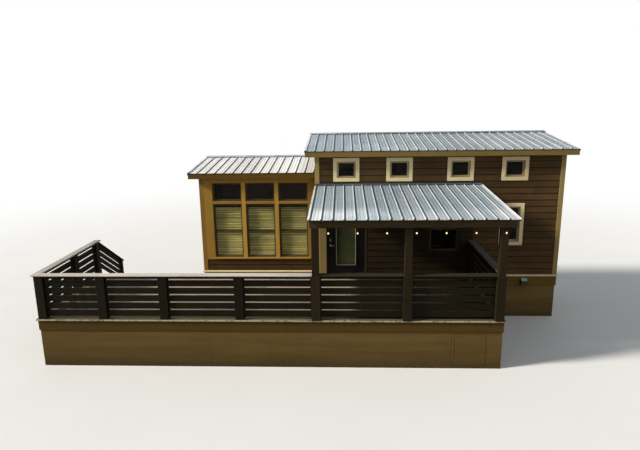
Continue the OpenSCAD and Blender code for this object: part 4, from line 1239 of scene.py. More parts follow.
def build_siding(s):
    """Lap boards on every outside wall face, and the finishes of the solid walls and floors."""
    build_front_boards(s)
    build_end_boards(s)
    build_back_boards(s)
    build_annex_boards(s)
    set_finish("lining", "front_wall_left", "front_wall_right", "front_wall_upper", "left_wall", "right_wall",
               "back_wall", "annex_front_wall", "annex_left_wall", "annex_back_wall")
    set_finish("floor", "house_floor", "loft_floor")


# Trim

HEAD_BOARD, SILL_LOW, SILL_TOP, SILL_NOSE = 0.110, 0.060, 0.038, 0.026


def frame_of_boards(shape, x, z, w, h, round_over, part):
    """Casing boards round an opening: sides between head and sill."""
    x0, x1, z0, z1 = around(x, z, w, h)
    shape.board((x0, -TRIM, z + h), (x1, 0, z1), X, round_over, part=part)
    shape.board((x0, -TRIM, z0), (x1, 0, z), X, round_over, part=part)
    for a in (x0, x + w / 2):
        shape.board((a, -TRIM + 0.001, z), (a + CASING, 0, z + h), Z, round_over, part=part)


def build_casings(s):
    """Casings of the windows and the flat surround of the annex windows."""
    r = s.round_over
    casing = Shape(21)
    for window, part in [(window, 1) for window in (*HIGH, SIDE_WIN)] + [(PORCH_WIN, 2)]:
        frame_of_boards(casing, *window, r, part)
    y0, y1 = ANNEX_Y - TRIM, ANNEX_Y
    left, right = BAYS[0] - BAY_W / 2, BAYS[2] + BAY_W / 2
    for x0, x1 in ((ANNEX_X + CORNER_W, left), (right, -TRIM)):
        casing.board((x0, y0, BAY_Z - SILL_LOW), (x1, y1, BAY_END + HEAD_BOARD), Z, r)
    casing.board((left, y0, BAY_END), (right, y1, BAY_END + HEAD_BOARD), X, r)
    casing.board((left, y0, BAY_Z - SILL_LOW), (right, y1, BAY_Z - SILL_TOP), X, r)
    bar = BAY_Z + BAY_LOW
    for x in BAYS:
        a = x - BAY_W / 2
        casing.board((a, y0, bar), (a + BAY_W, y1, bar + BAY_BAR), X, r)
        if x < BAYS[2]:
            casing.board((a + BAY_W, y0, BAY_Z), (a + BAY_STEP, y1, BAY_END), Z, r, part=3)
    nose, low = y0 - SILL_NOSE, BAY_Z - SILL_TOP
    sill = [(nose, low), (y1, low), (y1, BAY_Z), (y0, BAY_Z), (nose, BAY_Z - 0.006)]
    casing.prism(sill, left - 0.040, right + 0.040, edges=[0, 0, 0, 1, 0.6])
    finishes = "trim casing hidden_casing mullion"
    casing.piece("window_and_annex_casings", finishes, "tan_trim", "window_casings")


def build_corners(s):
    """Corner boards of both bodies, each of two boards, and the wide board beside the door."""
    t, w, y_in = TRIM, CORNER_W, DEPTH - CORNER_W
    over = FLASH_Z + FLASH_H + 0.001
    boards = Shape(22)
    for x0, x1, y0, y1, z0, z1, part in (
        (-t, w, -t, 0, FLOOR, LEDGER_LOW, 0),
        (-t, w, -t, 0, over, main_under(-t), 0),
        (-t, 0, 0, w, FLOOR, main_under(0), 0),
        (DOOR_SIDE, DOOR_X - 0.004, -t, 0, FLOOR, HEAD, 2),
        (LENGTH - w, LENGTH + t, -t, 0, FLOOR, main_under(-t), 0),
        (LENGTH, LENGTH + t, 0, w, FLOOR, main_under(0), 0),
        (LENGTH - w, LENGTH + t, DEPTH, DEPTH + t, FLOOR, main_under(DEPTH), 0),
        (LENGTH, LENGTH + t, y_in, DEPTH, FLOOR, main_under(y_in), 0),
        (ANNEX_X - t, ANNEX_X + w, ANNEX_Y - t, ANNEX_Y, FLOOR, annex_under(ANNEX_Y - t), 1),
        (ANNEX_X - t, ANNEX_X, ANNEX_Y, ANNEX_Y + w, FLOOR, annex_under(ANNEX_Y), 1),
        (ANNEX_X - t, ANNEX_X + w, DEPTH, DEPTH + t, FLOOR, annex_under(DEPTH), 1),
        (ANNEX_X - t, ANNEX_X, y_in, DEPTH, FLOOR, annex_under(y_in), 1),
        (-0.03, 0.062, DEPTH, DEPTH + t, FLOOR, annex_under(DEPTH), 1),
    ):
        boards.board((x0, y0, z0), (x1, y1, z1), Z, s.round_over, part=part)
    boards.piece("corner_and_door_boards", "corner annex_corner door_side", "tan_trim", "corner_boards")


def build_fascia(s):
    """Fascia boards along the eaves and the tops, and barge boards up the ends."""
    r, deep, thick, inset = s.round_over, 0.140, 0.020, 0.010
    fascia = Shape(23)
    for part, (slope, x1) in enumerate(((MAIN, MAIN.x1 - inset), (ANNEX, 0.0))):
        x0, y0, y1 = slope.x0 + inset, slope.y0 + inset, slope.y1 - inset
        za, zb = slope.top(y0), slope.top(y1)
        stops = [x0]
        while x1 - stops[-1] > 4.2:
            stops.append(stops[-1] + 3.66)
        stops.append(x1)
        for a, b in zip(stops, stops[1:]):
            b -= 0.0008 if b < x1 else 0
            fascia.board((a, y0, za - deep), (b, y0 + thick, za), X, r, part=part)
            fascia.board((a, y1 - thick, zb - deep), (b, y1, zb - 0.003), X, r, part=part)
        foot, rise = y0 + thick, (zb - 0.006 - za) / (y1 - y0 - 2 * thick)
        for a in [x0] + ([x1 - thick] if slope is MAIN else []):
            fascia.board((a, foot, za - deep), (a + thick, y1 - thick, za - 0.001), Y, r, part=part,
                         bend=lambda p: (p[0], p[1], p[2] + (p[1] - foot) * rise))
    fascia.piece("fascia_and_barge_boards", "fascia annex_fascia", "tan_trim", "fascia_boards")


def build_trim(s):
    """Casings, corner boards and fascia boards, and the finish of the solid roof frames."""
    build_casings(s)
    build_corners(s)
    build_fascia(s)
    set_finish("soffit", "main_roof_frame", "annex_roof_frame")


# Roofs

EDGE = 0.0005
SHEET_RIBS = 4


def rib_unit(s, length):
    """One rib of a roof sheet with the flat and low ribs beside it, up the whole slope."""
    half, low = PITCH / 2, s.low_rib
    # The third value of each point marks the face to its right: below zero a painted highlight, above zero
    # painted shadow.
    small = ((-0.008, 0.0, -0.6), (-0.004, low, 0.2), (0.004, low, 0.9), (0.008, 0.0, 0.0))
    high = ((-0.022, 0.0, -0.5), (-0.0105, RIB - 0.0012, -0.3), (-0.0082, RIB, 0.0), (-0.002, RIB, 0.8))
    high += ((0.0082, RIB, 1.0), (0.0105, RIB - 0.0012, 1.0), (0.022, 0.0, 0.95), (0.036, 0.0, 0.0))
    upper = [(-half, PAN, 0.0)]
    for centre, outline in ((-PITCH / 3, small), (0, high), (PITCH / 3, small)):
        upper += [(centre + x, PAN + n, mark) for x, n, mark in outline]
    upper.append((half, PAN, 0.0))
    points, faces, marks = [], [], []
    for up in (0.0, s.pale_end, length):
        points += [(x, up, n) for x, n, mark in upper]
        points += [(x, up, n - SHEET) for x, n, mark in upper]
    count = len(upper)
    for first in (0, 2 * count):
        for i in range(count - 1):
            k = first + i
            faces.append([k, k + 1, 2 * count + k + 1, 2 * count + k])
            faces.append([count + k, 3 * count + k, 3 * count + k + 1, count + k + 1])
            # At the lower end the flats take a painted highlight and the ribs painted shadow.
            flat = upper[i][1] == upper[i + 1][1] == PAN
            marks += [upper[i][2] if first else -0.9 if flat else 0.8, 0.0]
    # The cut ends take painted shadow: a little at the eave, full at the top.
    for i in range(count - 1):
        faces.append([i, count + i, count + i + 1, i + 1])
        faces.append([4 * count + i, 4 * count + i + 1, 5 * count + i + 1, 5 * count + i])
        marks += [0.3, 1.0]
    unit = Shape()
    unit.add(points, faces, Y, 0.0, marks)
    return unit


def ribbed_sheets(slope, s, seed, sheet):
    """All sheets of a slope as one closed form, cut at both ends of the eave."""
    ribs = slope.ribs()
    row = in_a_row(rib_unit(s, slope.length), len(ribs) + 1, (PITCH, 0, 0), seed, sheet)
    for vertex in row.vertices:
        vertex.co.x += ribs[0]
    sheets = Shape()
    sheets.absorb(row, 0, 0.0)
    made = sheets.mesh("sheets", HERE)
    cut_off(made, (slope.x1 - EDGE, 0, 0), (1, 0, 0), True)
    cut_off(made, (slope.x0 + EDGE, 0, 0), (-1, 0, 0))
    for vertex in made.vertices:
        vertex.co = slope.at(*vertex.co)
    return made


def roof_screws(slope, s, capped):
    """Rows of screws beside the ribs. A capped slope has one more row under its cap."""
    run = slope.length
    rows = [0.055]
    while rows[-1] < run - 0.75:
        rows.append(rows[-1] + s.screw_row)
    if capped:
        rows.append(run - 0.215)
    screws = Screws("roof")
    for up in rows:
        for x in slope.ribs():
            if x + 0.034 < slope.x1 - 0.03:
                screws.put(slope.at(x + 0.034, up, PAN), slope.normal)
    return screws


def edge_trim(hang, low, high, edge, reach, way):
    """Outline of a bent strip at a sheet's end, as (n, x) pairs: it hangs down and turns over the sheet."""
    inner, tip = edge + way * 0.0014, edge + way * reach
    return [(hang, edge), (hang, inner), (low, inner), (low, tip), (high, tip), (high, edge)]


def build_roof(name, node, slope, s, seed, sheet):
    """A ribbed roof of sheets with screws, lap lips, rib plugs, eave flashing and edge trims."""
    roof = Shape(seed)
    ribs, run = slope.ribs(), slope.length
    x0, x1 = slope.x0 + EDGE, slope.x1 - EDGE

    def up_slope(outline, low, high, shade, part=0):
        roof.prism(outline, low, high, Y, shade, part, slope.bend)

    roof.absorb(ribbed_sheets(slope, s, seed, sheet))
    for x in ribs[SHEET_RIBS::SHEET_RIBS]:
        if x + 0.024 < slope.x1:
            lip = ((PAN, -0.0245), (PAN + SHEET, -0.0245), (PAN + SHEET, -0.021), (PAN, -0.021))
            up_slope([(n, x + dx) for n, dx in lip], 0.0, run, 0.5)
    # The eave flashing is a folded strip under the sheet that hangs before the fascia.
    flashing = [(0.0020, -0.007), (0.0034, -0.009), (0.0034, 0.0052), (0.085, 0.0052), (0.085, 0.0064)]
    roof.prism(flashing + [(0.0020, 0.0064)], x0, x1, X, 0.6, 4, slope.bend)
    low, high = PAN - SHEET, PAN - SHEET + RIB - 0.001
    for x in ribs:
        if x0 + 0.020 < x < x1 - 0.020:
            plug = [(low, x - 0.0195), (low, x + 0.0195), (high, x + 0.0080), (high, x - 0.0080)]
            up_slope(plug, 0.030, 0.050, 0.5, 2)
    roof_screws(slope, s, slope is not PORCH).drive(roof, 3)
    top = PAN + RIB
    if slope is PORCH:
        left = edge_trim(-0.030, PAN + 0.0010, PAN + 0.0022, x0 + 0.0004, 0.0236, 1)
    else:
        left = edge_trim(-0.050, top + 0.0004, top + 0.0018, x0 + 0.0004, 0.0516, 1)
    up_slope(left, 0.0, run, 0.7, 1)
    if slope is not ANNEX:
        flat = x1 - ribs[-1] > 0.05
        hang = -0.050 if slope is MAIN else -0.030
        over, reach = (PAN, 0.060) if flat else (top, 0.045)
        right = edge_trim(hang, over + 0.0004, over + 0.0018, x1, reach, -1)
        up_slope(right, 0.0, run, 0.7, 1)
    roof.piece(name, sheet + " flash rubber zinc drip", "roof_metal", node)


def cap_outline(slope, lift):
    """Path of the folded cap over a slope's top edge, as (y, z) pairs."""
    t, y = slope.rise, slope.y1
    z = top_of_ribs(slope)
    down = [(0.188, 0.0004), (0.1985, 0.0010), (0.1995, 0.0030)]
    path = [(y - d, z - d * t + n) for d, n in down] + [(y - 0.190, z - 0.190 * t + 0.0046)]
    path += [(y + 0.0045, z + 0.0046), (y + 0.0050, z - 0.100), (y + 0.0010, z - 0.108)]
    return [(a, b + lift) for a, b in path]


def top_of_ribs(slope):
    """Height of the high ribs at a slope's top edge."""
    return slope.z0 + (slope.y1 - slope.y0) * slope.rise + RIB / slope.cos


def foam_strip(caps, slope, y, z, far, near, gap=0.0):
    """A closure between the ribs under a cap, between two distances from the slope's top edge."""
    t = slope.rise
    ring = [(y - d, z - RIB - d * t) for d in (far, near)] + [(y - d, z - gap - d * t) for d in (near, far)]
    caps.prism(ring, slope.x0 + 0.004, slope.x1 - 0.004, X, 0.5, 1)


def build_caps():
    """Folded caps on the two top edges and the apron where the porch roof meets the wall."""
    caps = Shape(34)
    screws = Screws("ridge")
    for slope in (MAIN, ANNEX):
        x1, y, z, t = slope.x1, slope.y1, top_of_ribs(slope), slope.rise
        stops, x = [slope.x0 + EDGE], slope.x0
        while x1 - x > 3.4:
            x += 3.05
            stops.append(x)
        stops.append(x1 - EDGE)
        for i, (a, b) in enumerate(zip(stops, stops[1:])):
            odd = i % 2
            lap = 0.05 if b < x1 - 0.01 else 0
            folded(caps, cap_outline(slope, 0.0006 * odd - 0.0006), 0.0010, a, b + lap, 0, 0.25 + 0.5 * odd)
        foam_strip(caps, slope, y, z, 0.172, 0.150)
        for rib in slope.ribs():
            if rib < x1 - 0.01:
                screws.put((rib, y - 0.165, z - 0.165 * t + 0.0056), slope.normal)
    z, t = FLASH_Z + 0.0004, PORCH.rise
    reach, high = FLASH_REACH - 0.0002, z + FLASH_H - 0.0010
    ends = (PORCH.x0 + 0.001, PORCH.x1 - 0.001)
    folded(caps, [(-reach, z - reach * t), (-0.0040, z - 0.0040 * t), (-0.0020, high)], 0.0012, *ends, 2)
    lip = [(-0.0020, high - 0.007), (-0.0045, high - 0.006), (-0.0045, high - 0.001), (-0.0020, high)]
    folded(caps, lip, 0.0008, *ends, 2, 0.4)
    foam_strip(caps, PORCH, 0, z, 0.050, 0.034, 0.001)
    for rib in PORCH.ribs():
        if rib < PORCH.x1 - 0.01:
            screws.put((rib, -0.042, z + 0.0014 - 0.042 * t), PORCH.normal)
    screws.drive(caps, 3)
    caps.piece("roof_edge_caps", "metal rubber apron zinc", "roof_metal", "roof_caps")


def build_roofs(s):
    """The three ribbed roofs and their caps."""
    build_roof("main_roof_sheets", "main_roof", MAIN, s, 31, "metal")
    build_roof("annex_roof_sheets", "annex_roof", ANNEX, s, 32, "annex_metal")
    build_roof("porch_roof_sheets", "porch_roof", PORCH, s, 33, "porch_metal")
    build_caps()


# Skirts

SHEET_W = 1.22
SKIRT_T, HOUSE_SKIRT_T = 0.040, 0.050
SKIRT_TOP = DECK - 0.033
HATCH_GAP, HATCH_LOW, HATCH_HIGH = 0.008, 0.045, 0.766
HATCH_X = (span("access_hatch")[0].x + 0.033, span("access_hatch")[1].x - 0.033)
BUTT = 3.05


def panel_row(shape, axis, x0, x1, top, y0, y1, seams=()):
    """Upright panels with fine joints, along X or Y."""
    count = max(1, round((x1 - x0) / SHEET_W))
    stops = list(seams) or [x0 + (x1 - x0) * i / count for i in range(1, count)]
    stops = [x0] + [v for v in stops if x0 < v < x1] + [x1]
    for a, b in zip(stops, stops[1:]):
        low, high = [0, 0, 0.0], [0, 0, top]
        low[axis], high[axis] = a + 0.0004, b - 0.0004
        low[1 - axis], high[1 - axis] = y0, y1
        shape.board(low, high, axis, 0.0008)


def build_deck_skirt():
    """Panels round the deck, with boards that frame the access hatch."""
    t, f, top = SKIRT_T, DECK_F, SKIRT_TOP
    h0, h1 = HATCH_X
    deck = Shape(41)
    seams = [DECK_L + SHEET_W * i for i in range(1, 7)]
    panel_row(deck, X, DECK_L, h0 - 0.075, top, f, f + t, seams)
    a, b = h0 - HATCH_GAP + 0.0005, h1 + HATCH_GAP - 0.0005
    for x0, x1, z0, z1 in (
        (h0 - 0.0720, h0 - HATCH_GAP, 0.0, top), (a, b, 0.0, HATCH_LOW), (a, b, HATCH_HIGH, top),
        (h1 + HATCH_GAP, DECK_R, 0.0, top),
    ):
        deck.board((x0, f, z0), (x1, f + t, z1), X, 0.003)
    panel_row(deck, Y, f + t, -t, top, DECK_L, DECK_L + t)
    panel_row(deck, Y, f + t, -TRIM, top, DECK_R - t, DECK_R)
    under = DECK - 0.120
    panel_row(deck, X, DECK_L + t, ANNEX_X - 0.0005, under, -t, 0)
    deck.board((DECK_L + t, -t, under + 0.0005), (ANNEX_X - 0.0005, 0, top), X, 0.003)
    deck.board((ANNEX_X, 0.0005, 0.0), (ANNEX_X + t, ANNEX_Y - 0.0005, under), Z, 0.003)
    deck.board((ANNEX_X, -t, 0.0), (ANNEX_X + t, 0, under), Z, 0.003)
    nodes = ("deck_skirt_front", "deck_skirt_sides", "deck_skirt_back")
    deck.piece("deck_skirt_panels", "skirt", "tan_panel", *nodes)


def build_hatch():
    """The access hatch: a panel with a batten frame behind it and four turn buttons."""
    h0, h1 = HATCH_X
    y = DECK_F - 0.001
    hatch = Shape(42)
    hatch.board((h0, y, HATCH_LOW + HATCH_GAP), (h1, DECK_F + SKIRT_T, HATCH_HIGH - HATCH_GAP), X, 0.005)
    low, high = span("access_hatch")
    back = DECK_F + SKIRT_T
    hatch.board((low.x, back, low.z), (high.x, back + 0.020, high.z), X, 0.003)
    button = [(0.0, 0.0), (0.011, 0.0), (0.011, 0.002), (0.009, 0.004)]
    button += [(0.004, 0.004), (0.003, 0.003), (0.0, 0.003)]
    for x in (h0 + 0.10, h1 - 0.10):
        for z in (0.700, 0.111):
            hatch.turned(button, (x, y, z), (0, -1, 0), 16, part=1)
    hatch.piece("hatch_panel", "skirt dark_screw", "tan_panel", "access_hatch")


def build_house_skirt():
    """Panels under the main body and the annex."""
    t, top = HOUSE_SKIRT_T, FLOOR - 0.140
    inner = t + 0.0005
    house = Shape(43)
    panel_row(house, X, 0.0005, LENGTH, top, 0, t)
    panel_row(house, X, ANNEX_X, 0, top, ANNEX_Y, ANNEX_Y + t)
    panel_row(house, Y, inner, DEPTH - inner, top, LENGTH - t, LENGTH)
    panel_row(house, Y, ANNEX_Y + inner, DEPTH - inner, top, ANNEX_X, ANNEX_X + t)
    panel_row(house, X, ANNEX_X, LENGTH, top, DEPTH - t, DEPTH)
    nodes = ("house_skirt_front", "house_skirt_ends", "house_skirt_back")
    house.piece("house_skirt_panels", "house_skirt", "tan_panel", *nodes)


def build_bands(s):
    """Band boards over the skirts and the drip ledge under the siding."""
    r, b, f, z0 = s.round_over, 0.018, DECK_F, SKIRT_TOP - 0.218
    left, right = ANNEX_X - TRIM, LENGTH + TRIM
    band = Shape(44)
    stops = [DECK_L - b, DECK_L + BUTT, DECK_L + 2.2 * BUTT, DECK_R + b]
    for x0, x1 in zip(stops, stops[1:]):
        band.board((x0, f - b, z0), (x1 - 0.001, f, SKIRT_TOP), X, r)
    band.board((DECK_L - b, f + EDGE, z0), (DECK_L, 0, SKIRT_TOP), Y, r)
    band.board((DECK_R, f + EDGE, z0), (DECK_R + b, -TRIM, SKIRT_TOP), Y, r)
    za, zb = FLOOR - 0.300, FLOOR - 0.038
    band.board((DECK_R + b, -TRIM, za), (right, 0, zb), X, r, part=2)
    band.board((LENGTH, EDGE, za), (right, DEPTH, zb), Y, r, part=2)
    for x0, x1 in ((left, -SHEET_W), (-SHEET_W + 0.001, 2 * SHEET_W), (2 * SHEET_W + 0.001, right)):
        band.board((x0, DEPTH, za), (x1, DEPTH + TRIM, zb), X, r, part=2)
    band.board((left, ANNEX_Y, za), (ANNEX_X, DEPTH, zb), Y, r, part=2)

    nose = 0.050
    lip = [(-nose, zb), (0, zb), (0, FLOOR), (-nose + 0.004, FLOOR - 0.008), (-nose, FLOOR - 0.012)]

    def ledge(ring, low, high, axis=X):
        band.prism(ring, low, high, axis, part=1, edges=[0.0, 0.0, 0.3, 1.0, 0.4])

    ledge(lip, 0, BUTT)
    ledge(lip, BUTT + 0.001, LENGTH + nose)
    ledge([(y + ANNEX_Y, z) for y, z in lip], ANNEX_X - nose, 0)
    ledge([(z, LENGTH - y) for y, z in lip], EDGE, DEPTH, Y)
    ledge([(z, ANNEX_X + y) for y, z in lip], ANNEX_Y + EDGE, DEPTH, Y)
    for x0, x1 in ((ANNEX_X - nose, -0.61), (-0.609, BUTT), (BUTT + 0.001, LENGTH + nose)):
        ledge([(DEPTH - y, z) for y, z in lip], x0, x1)
    band.piece("skirt_band_boards", "band casing house_band", "tan_trim", "skirt_bands")


def build_vent():
    """A wall outlet with a sloping hood, side cheeks, three flaps and four screws."""
    vent = Shape(45)
    (x0, y0, z0), (x1, y1, z1) = span("exhaust_vent")
    back = y1 - 0.005
    vent.board((x0, back, z0), (x1, y1, z1), X, 0.0015)
    foot = (y0, z0 + 0.004)
    shell = [(back, z1 - 0.010), (y1 - 0.030, z1 - 0.012), (y0 + 0.006, z1 - 0.066), (y0, z1 - 0.076), foot]
    # The upper part of the hood takes the pale plastic, a painted highlight on its top.
    folded(vent, shell[:3], 0.003, x0 + 0.008, x1 - 0.008, 2)
    folded(vent, shell[2:], 0.003, x0 + 0.008, x1 - 0.008)
    for x in (x0 + 0.008, x1 - 0.011):
        vent.prism([(back, z0 + 0.004)] + shell, x, x + 0.003)
    low, high = z0 + 0.020, z0 + 0.052
    for i in range(3):
        y = y0 + 0.016 + i * 0.026
        flap = [(y, low), (y + 0.0015, low), (y + 0.019, high), (y + 0.0175, high)]
        vent.prism(flap, x0 + 0.013, x1 - 0.013)
        vent.tube([(x0 + 0.012, y + 0.018, high), (x1 - 0.012, y + 0.018, high)], 0.002, 8)
    screws = Screws("outlet")
    for x in (x0 + 0.004, x1 - 0.004):
        for z in (z0 + 0.02, z1 - 0.02):
            screws.put((x, back, z), (0, -1, 0))
    screws.drive(vent, 1)
    vent.piece("wall_outlet_hood", "vent zinc pale_vent", "vent", "exhaust_vent")


def build_skirts(s):
    """Panels round the deck and the house, with the access hatch, band boards, drip ledge and vent."""
    build_deck_skirt()
    build_hatch()
    build_house_skirt()
    build_bands(s)
    build_vent()


# Deck and railing

# Railing posts are RAIL_T thick and two times HALF wide, and porch posts are two times POST_H wide
RAIL_Y, RAIL_T, HALF, POST_H = DECK_F - 0.020, 0.120, 0.092, 0.075
MID = RAIL_Y + RAIL_T / 2
LEFT_MID, RIGHT_MID = DECK_L - 0.020 + RAIL_T / 2, DECK_R + 0.020 - RAIL_T / 2
SIDE_POSTS = [MID + BAY, -HALF]
FRONT_POSTS = RAIL_POSTS + POSTS


def broken_row(shape, x0, x1, y0, y1, z0, z1, joints, round_over, part=0, pale=None):
    """One board line with butt joints at given places."""
    stops = [x0] + [j for j in joints if x0 < j < x1] + [x1]
    for a, b in zip(stops, stops[1:]):
        shape.board((a, y0, z0), (b - (0.002 if b < x1 else 0), y1, z1), X, round_over, part=part, pale=pale)


def build_deck_boards(s):
    """Deck boards in two alternating lines, on joists, with their screws."""
    z0, z1 = DECK - 0.033, DECK
    low, joist_low, r, gap = z1 - 0.028, DECK - 0.120, 0.0035, 0.003
    x0, x1, y0, y1 = DECK_L + 0.090, DECK_R - 0.090, DECK_F + 0.090, -0.040
    count = round((y1 - y0) / s.deck_pitch)
    pitch = (y1 - y0) / count
    deck = Shape(51)
    for turn, joints in ((0, (-3.67, 0.0)), (1, (-5.0, -1.22, 2.44))):
        line = Shape(52 + turn)
        broken_row(line, x0, x1, y0 + gap, y0 + pitch - gap, low, z1, joints, r)
        row = in_a_row(line, (count + 1 - turn) // 2, (0, 2 * pitch, 0), 60 + turn, "deck")
        for vertex in row.vertices:
            vertex.co.y += turn * pitch
        deck.absorb(row)
    for i in range(2):
        deck.board((ANNEX_X, y1 + gap + i * pitch, low), (0, y1 + (i + 1) * pitch - gap, z1), X, r)
    deck.board((ANNEX_X, y1 + 2 * pitch + gap, low), (0, ANNEX_Y - 0.002, z1), X, r)
    deck.board((0.001, y1 + gap, low), (DECK_R - 0.042, -0.001, z1), X, r)
    joist = Shape(54)
    joist.board((x0, DECK_F + 0.042, joist_low), (x0 + 0.038, -0.042, z1 - 0.030), Y, 0.002)
    step = (x1 - x0 - 0.038) / 24
    deck.absorb(in_a_row(joist, 25, (step, 0, 0), 63, "hidden"), 1)
    for y in (DECK_F + 0.0405, -0.0805):
        deck.board((DECK_L + 0.041, y, joist_low), (DECK_R - 0.041, y + 0.038, z0 - 0.001), X, part=1)
    for ya, yb in ((0.001, 0.039), (ANNEX_Y - 0.040, ANNEX_Y - 0.001)):
        deck.board((ANNEX_X + 0.041, ya, joist_low), (-0.001, yb, z1 - 0.029), X, part=1)
    screws = Screws("deck")
    for k in range(count):
        for i in range(0, 25, 2):
            for off in (0.028, pitch - 0.028):
                screws.put((x0 + 0.019 + i * step, y0 + k * pitch + off, z1 - 0.0006), UP)
    screws.drive(deck, 2)
    deck.piece("deck_boards", "deck hidden dark_screw", "deck_wood", "deck_floor")


def build_deck(s):
    """Deck boards, and pale edge boards whose outer face is worn and painted pale as a highlight."""
    build_deck_boards(s)
    z0, z1, r, inner = DECK - 0.033, DECK, 0.007, 0.0885
    x0, x1, y0 = DECK_L - LEDGE, DECK_R + LEDGE, DECK_F - LEDGE
    edge = Shape(55)
    broken_row(edge, x0, x1, y0, DECK_F + inner, z0, z1, (-2.90, 0.76), r, pale=(Y, y0))
    edge.board((x0, DECK_F + 0.090, z0), (DECK_L + inner, -0.0415, z1), Y, r, pale=(X, x0))
    edge.board((DECK_R - inner, DECK_F + 0.090, z0), (x1, -TRIM, z1), Y, r, pale=(X, x1))
    edge.board((x0, -0.040, z0), (ANNEX_X - TRIM, 0.040, z1), X, 0.005)
    edge.piece("deck_edge_boards", "edge", "edge_wood", "deck_edge")


def post_boards(shape, x, y, axis):
    """A wide flat post of the railing, wide along an axis: two cover boards with a core between them."""
    t, gap, inset = 0.024, 0.0005, 0.020
    low, high = [x - RAIL_T / 2, y - RAIL_T / 2, DECK], [x + RAIL_T / 2, y + RAIL_T / 2, CAP_LOW]
    low[axis], high[axis] = (x, y)[axis] - HALF, (x, y)[axis] + HALF
    flat = 1 - axis
    near, core, far = ([list(low), list(high)] for _ in range(3))
    near[1][flat] = low[flat] + t
    core[0][flat], core[1][flat] = low[flat] + t + gap, high[flat] - t - gap
    core[0][axis], core[1][axis] = low[axis] + inset, high[axis] - inset
    far[0][flat] = high[flat] - t
    for (a, b), r in ((near, 0.004), (core, 0.003), (far, 0.004)):
        shape.board(a, b, Z, r)


def build_rail_posts():
    """Posts of the railing, and the ledgers beside them that carry the rail boards."""
    posts = Shape(56)
    screws = Screws("post")
    for x in RAIL_POSTS:
        post_boards(posts, x, MID, X)
        for dx in (-0.055, 0.055):
            for z in (DECK + 0.06, DECK + 0.45, CAP_LOW - 0.06):
                screws.put((x + dx, RAIL_Y, z), (0, -1, 0))
    for y in SIDE_POSTS:
        post_boards(posts, LEFT_MID, y, Y)
    x0, x1 = RIGHT_MID - RAIL_T / 2, RIGHT_MID + RAIL_T / 2
    posts.board((x0, -HALF - TRIM, DECK), (x1, -LEDGE, CAP_LOW), Z, 0.004)
    for a, b in zip(FRONT_POSTS, FRONT_POSTS[1:]):
        for x in (a + HALF, b - HALF - 0.022):
            low = (x + 0.0003, MID + 0.0135, DECK + 0.030)
            posts.board(low, (x + 0.0217, MID + 0.040, CAP_LOW - 0.002), Z)
    screws.drive(posts, 1)
    posts.piece("rail_post_boards", "rail dark_screw", "rail_wood", "rail_posts")


def build_bays(name, node, spans, axis, centre, seed):
    """Rail boards of a side: five wide boards with gaps and a narrow top board in each bay."""
    gap, top_board = 0.032, 0.068
    wide = (CAP_LOW - DECK - gap * 6 - 0.094) / 5
    first = DECK + gap + 0.026
    unit, bays = Shape(seed), Shape(seed + 1)
    screws = Screws("rail")
    for a, b in spans:
        low, high = [0, 0, first], [0, 0, first + wide]
        low[axis], high[axis] = a + 0.0006, b - 0.0006
        low[1 - axis], high[1 - axis] = centre - 0.012, centre + 0.013
        unit.board(low, high, axis, 0.003)
        low[Z], high[Z] = CAP_LOW - top_board, CAP_LOW
        bays.board(low, high, axis, 0.003)
        for i in range(5):
            for v in (a + 0.028, b - 0.028):
                for z in (0.03, wide - 0.03):
                    p = [0, 0, first + i * (wide + gap) + z]
                    p[axis], p[1 - axis] = v, centre - 0.012
                    screws.put(p, (0, -1, 0) if axis == X else (-1, 0, 0))
    bays.absorb(in_a_row(unit, 5, (0, 0, wide + gap), seed, "rail"))
    screws.drive(bays, 1)
    bays.piece(name, "rail dark_screw", "rail_wood", node)


def build_caps_of_rail():
    """Weathered caps: a broken line at the front, with the lengths under the porch and the sides in painted
    shade.
    """
    cap = Shape(66)
    low, high, half = MID - 0.080, MID + 0.080, 0.080
    runs = [(DECK_L - 0.048, POSTS[0] - POST_H)]
    runs += [(a + POST_H, b - POST_H) for a, b in zip(POSTS, POSTS[1:])]
    broken_row(cap, *runs[0], low, high, CAP_LOW, CAP_TOP, RAIL_POSTS[1:3], 0.005)
    for a, b in runs[1:]:
        cap.board((a, low, CAP_LOW), (b, high, CAP_TOP), X, 0.005, part=1)
    for x, y0, y1, part in (
        (LEFT_MID, high + EDGE, SIDE_POSTS[0] - 0.001, 3),
        (LEFT_MID, SIDE_POSTS[0] + 0.001, 0.060, 3),
        (RIGHT_MID, BEAM_Y1 + EDGE, -TRIM, 4),
    ):
        cap.board((x - half, y0, CAP_LOW), (x + half, y1, CAP_TOP), Y, 0.005, part=part)
    screws = Screws("cap")
    for x in RAIL_POSTS:
        for dx in (-0.05, 0.05):
            for dy in (-0.04, 0.04):
                screws.put((x + dx, MID + dy, CAP_TOP - 0.0004), UP)
    for y in SIDE_POSTS:
        for dy in (-0.05, 0.05):
            for dx in (-0.04, 0.04):
                screws.put((LEFT_MID + dx, y + dy, CAP_TOP - 0.0004), UP)
    screws.drive(cap, 2)
    finishes = "cap shade_cap dark_screw side_cap inner_cap"
    cap.piece("rail_cap_boards", finishes, "cap_wood", "front_rail_cap", "side_rail_caps")


def build_railing():
    """Wide flat posts, rail boards in each bay, and weathered caps."""
    build_rail_posts()
    front = [(a + HALF, b - HALF) for a, b in zip(FRONT_POSTS, FRONT_POSTS[1:])]
    left = [(RAIL_Y + RAIL_T, SIDE_POSTS[0] - HALF), (SIDE_POSTS[0] + HALF, -2 * HALF)]
    build_bays("front_bay_boards", "front_rail_boards", front, X, MID, 57)
    build_bays("left_bay_boards", "left_rail_boards", left, Y, LEFT_MID, 61)
    build_bays("right_bay_boards", "right_rail_boards", [(BEAM_Y1, -HALF - TRIM)], Y, RIGHT_MID, 64)
    build_caps_of_rail()


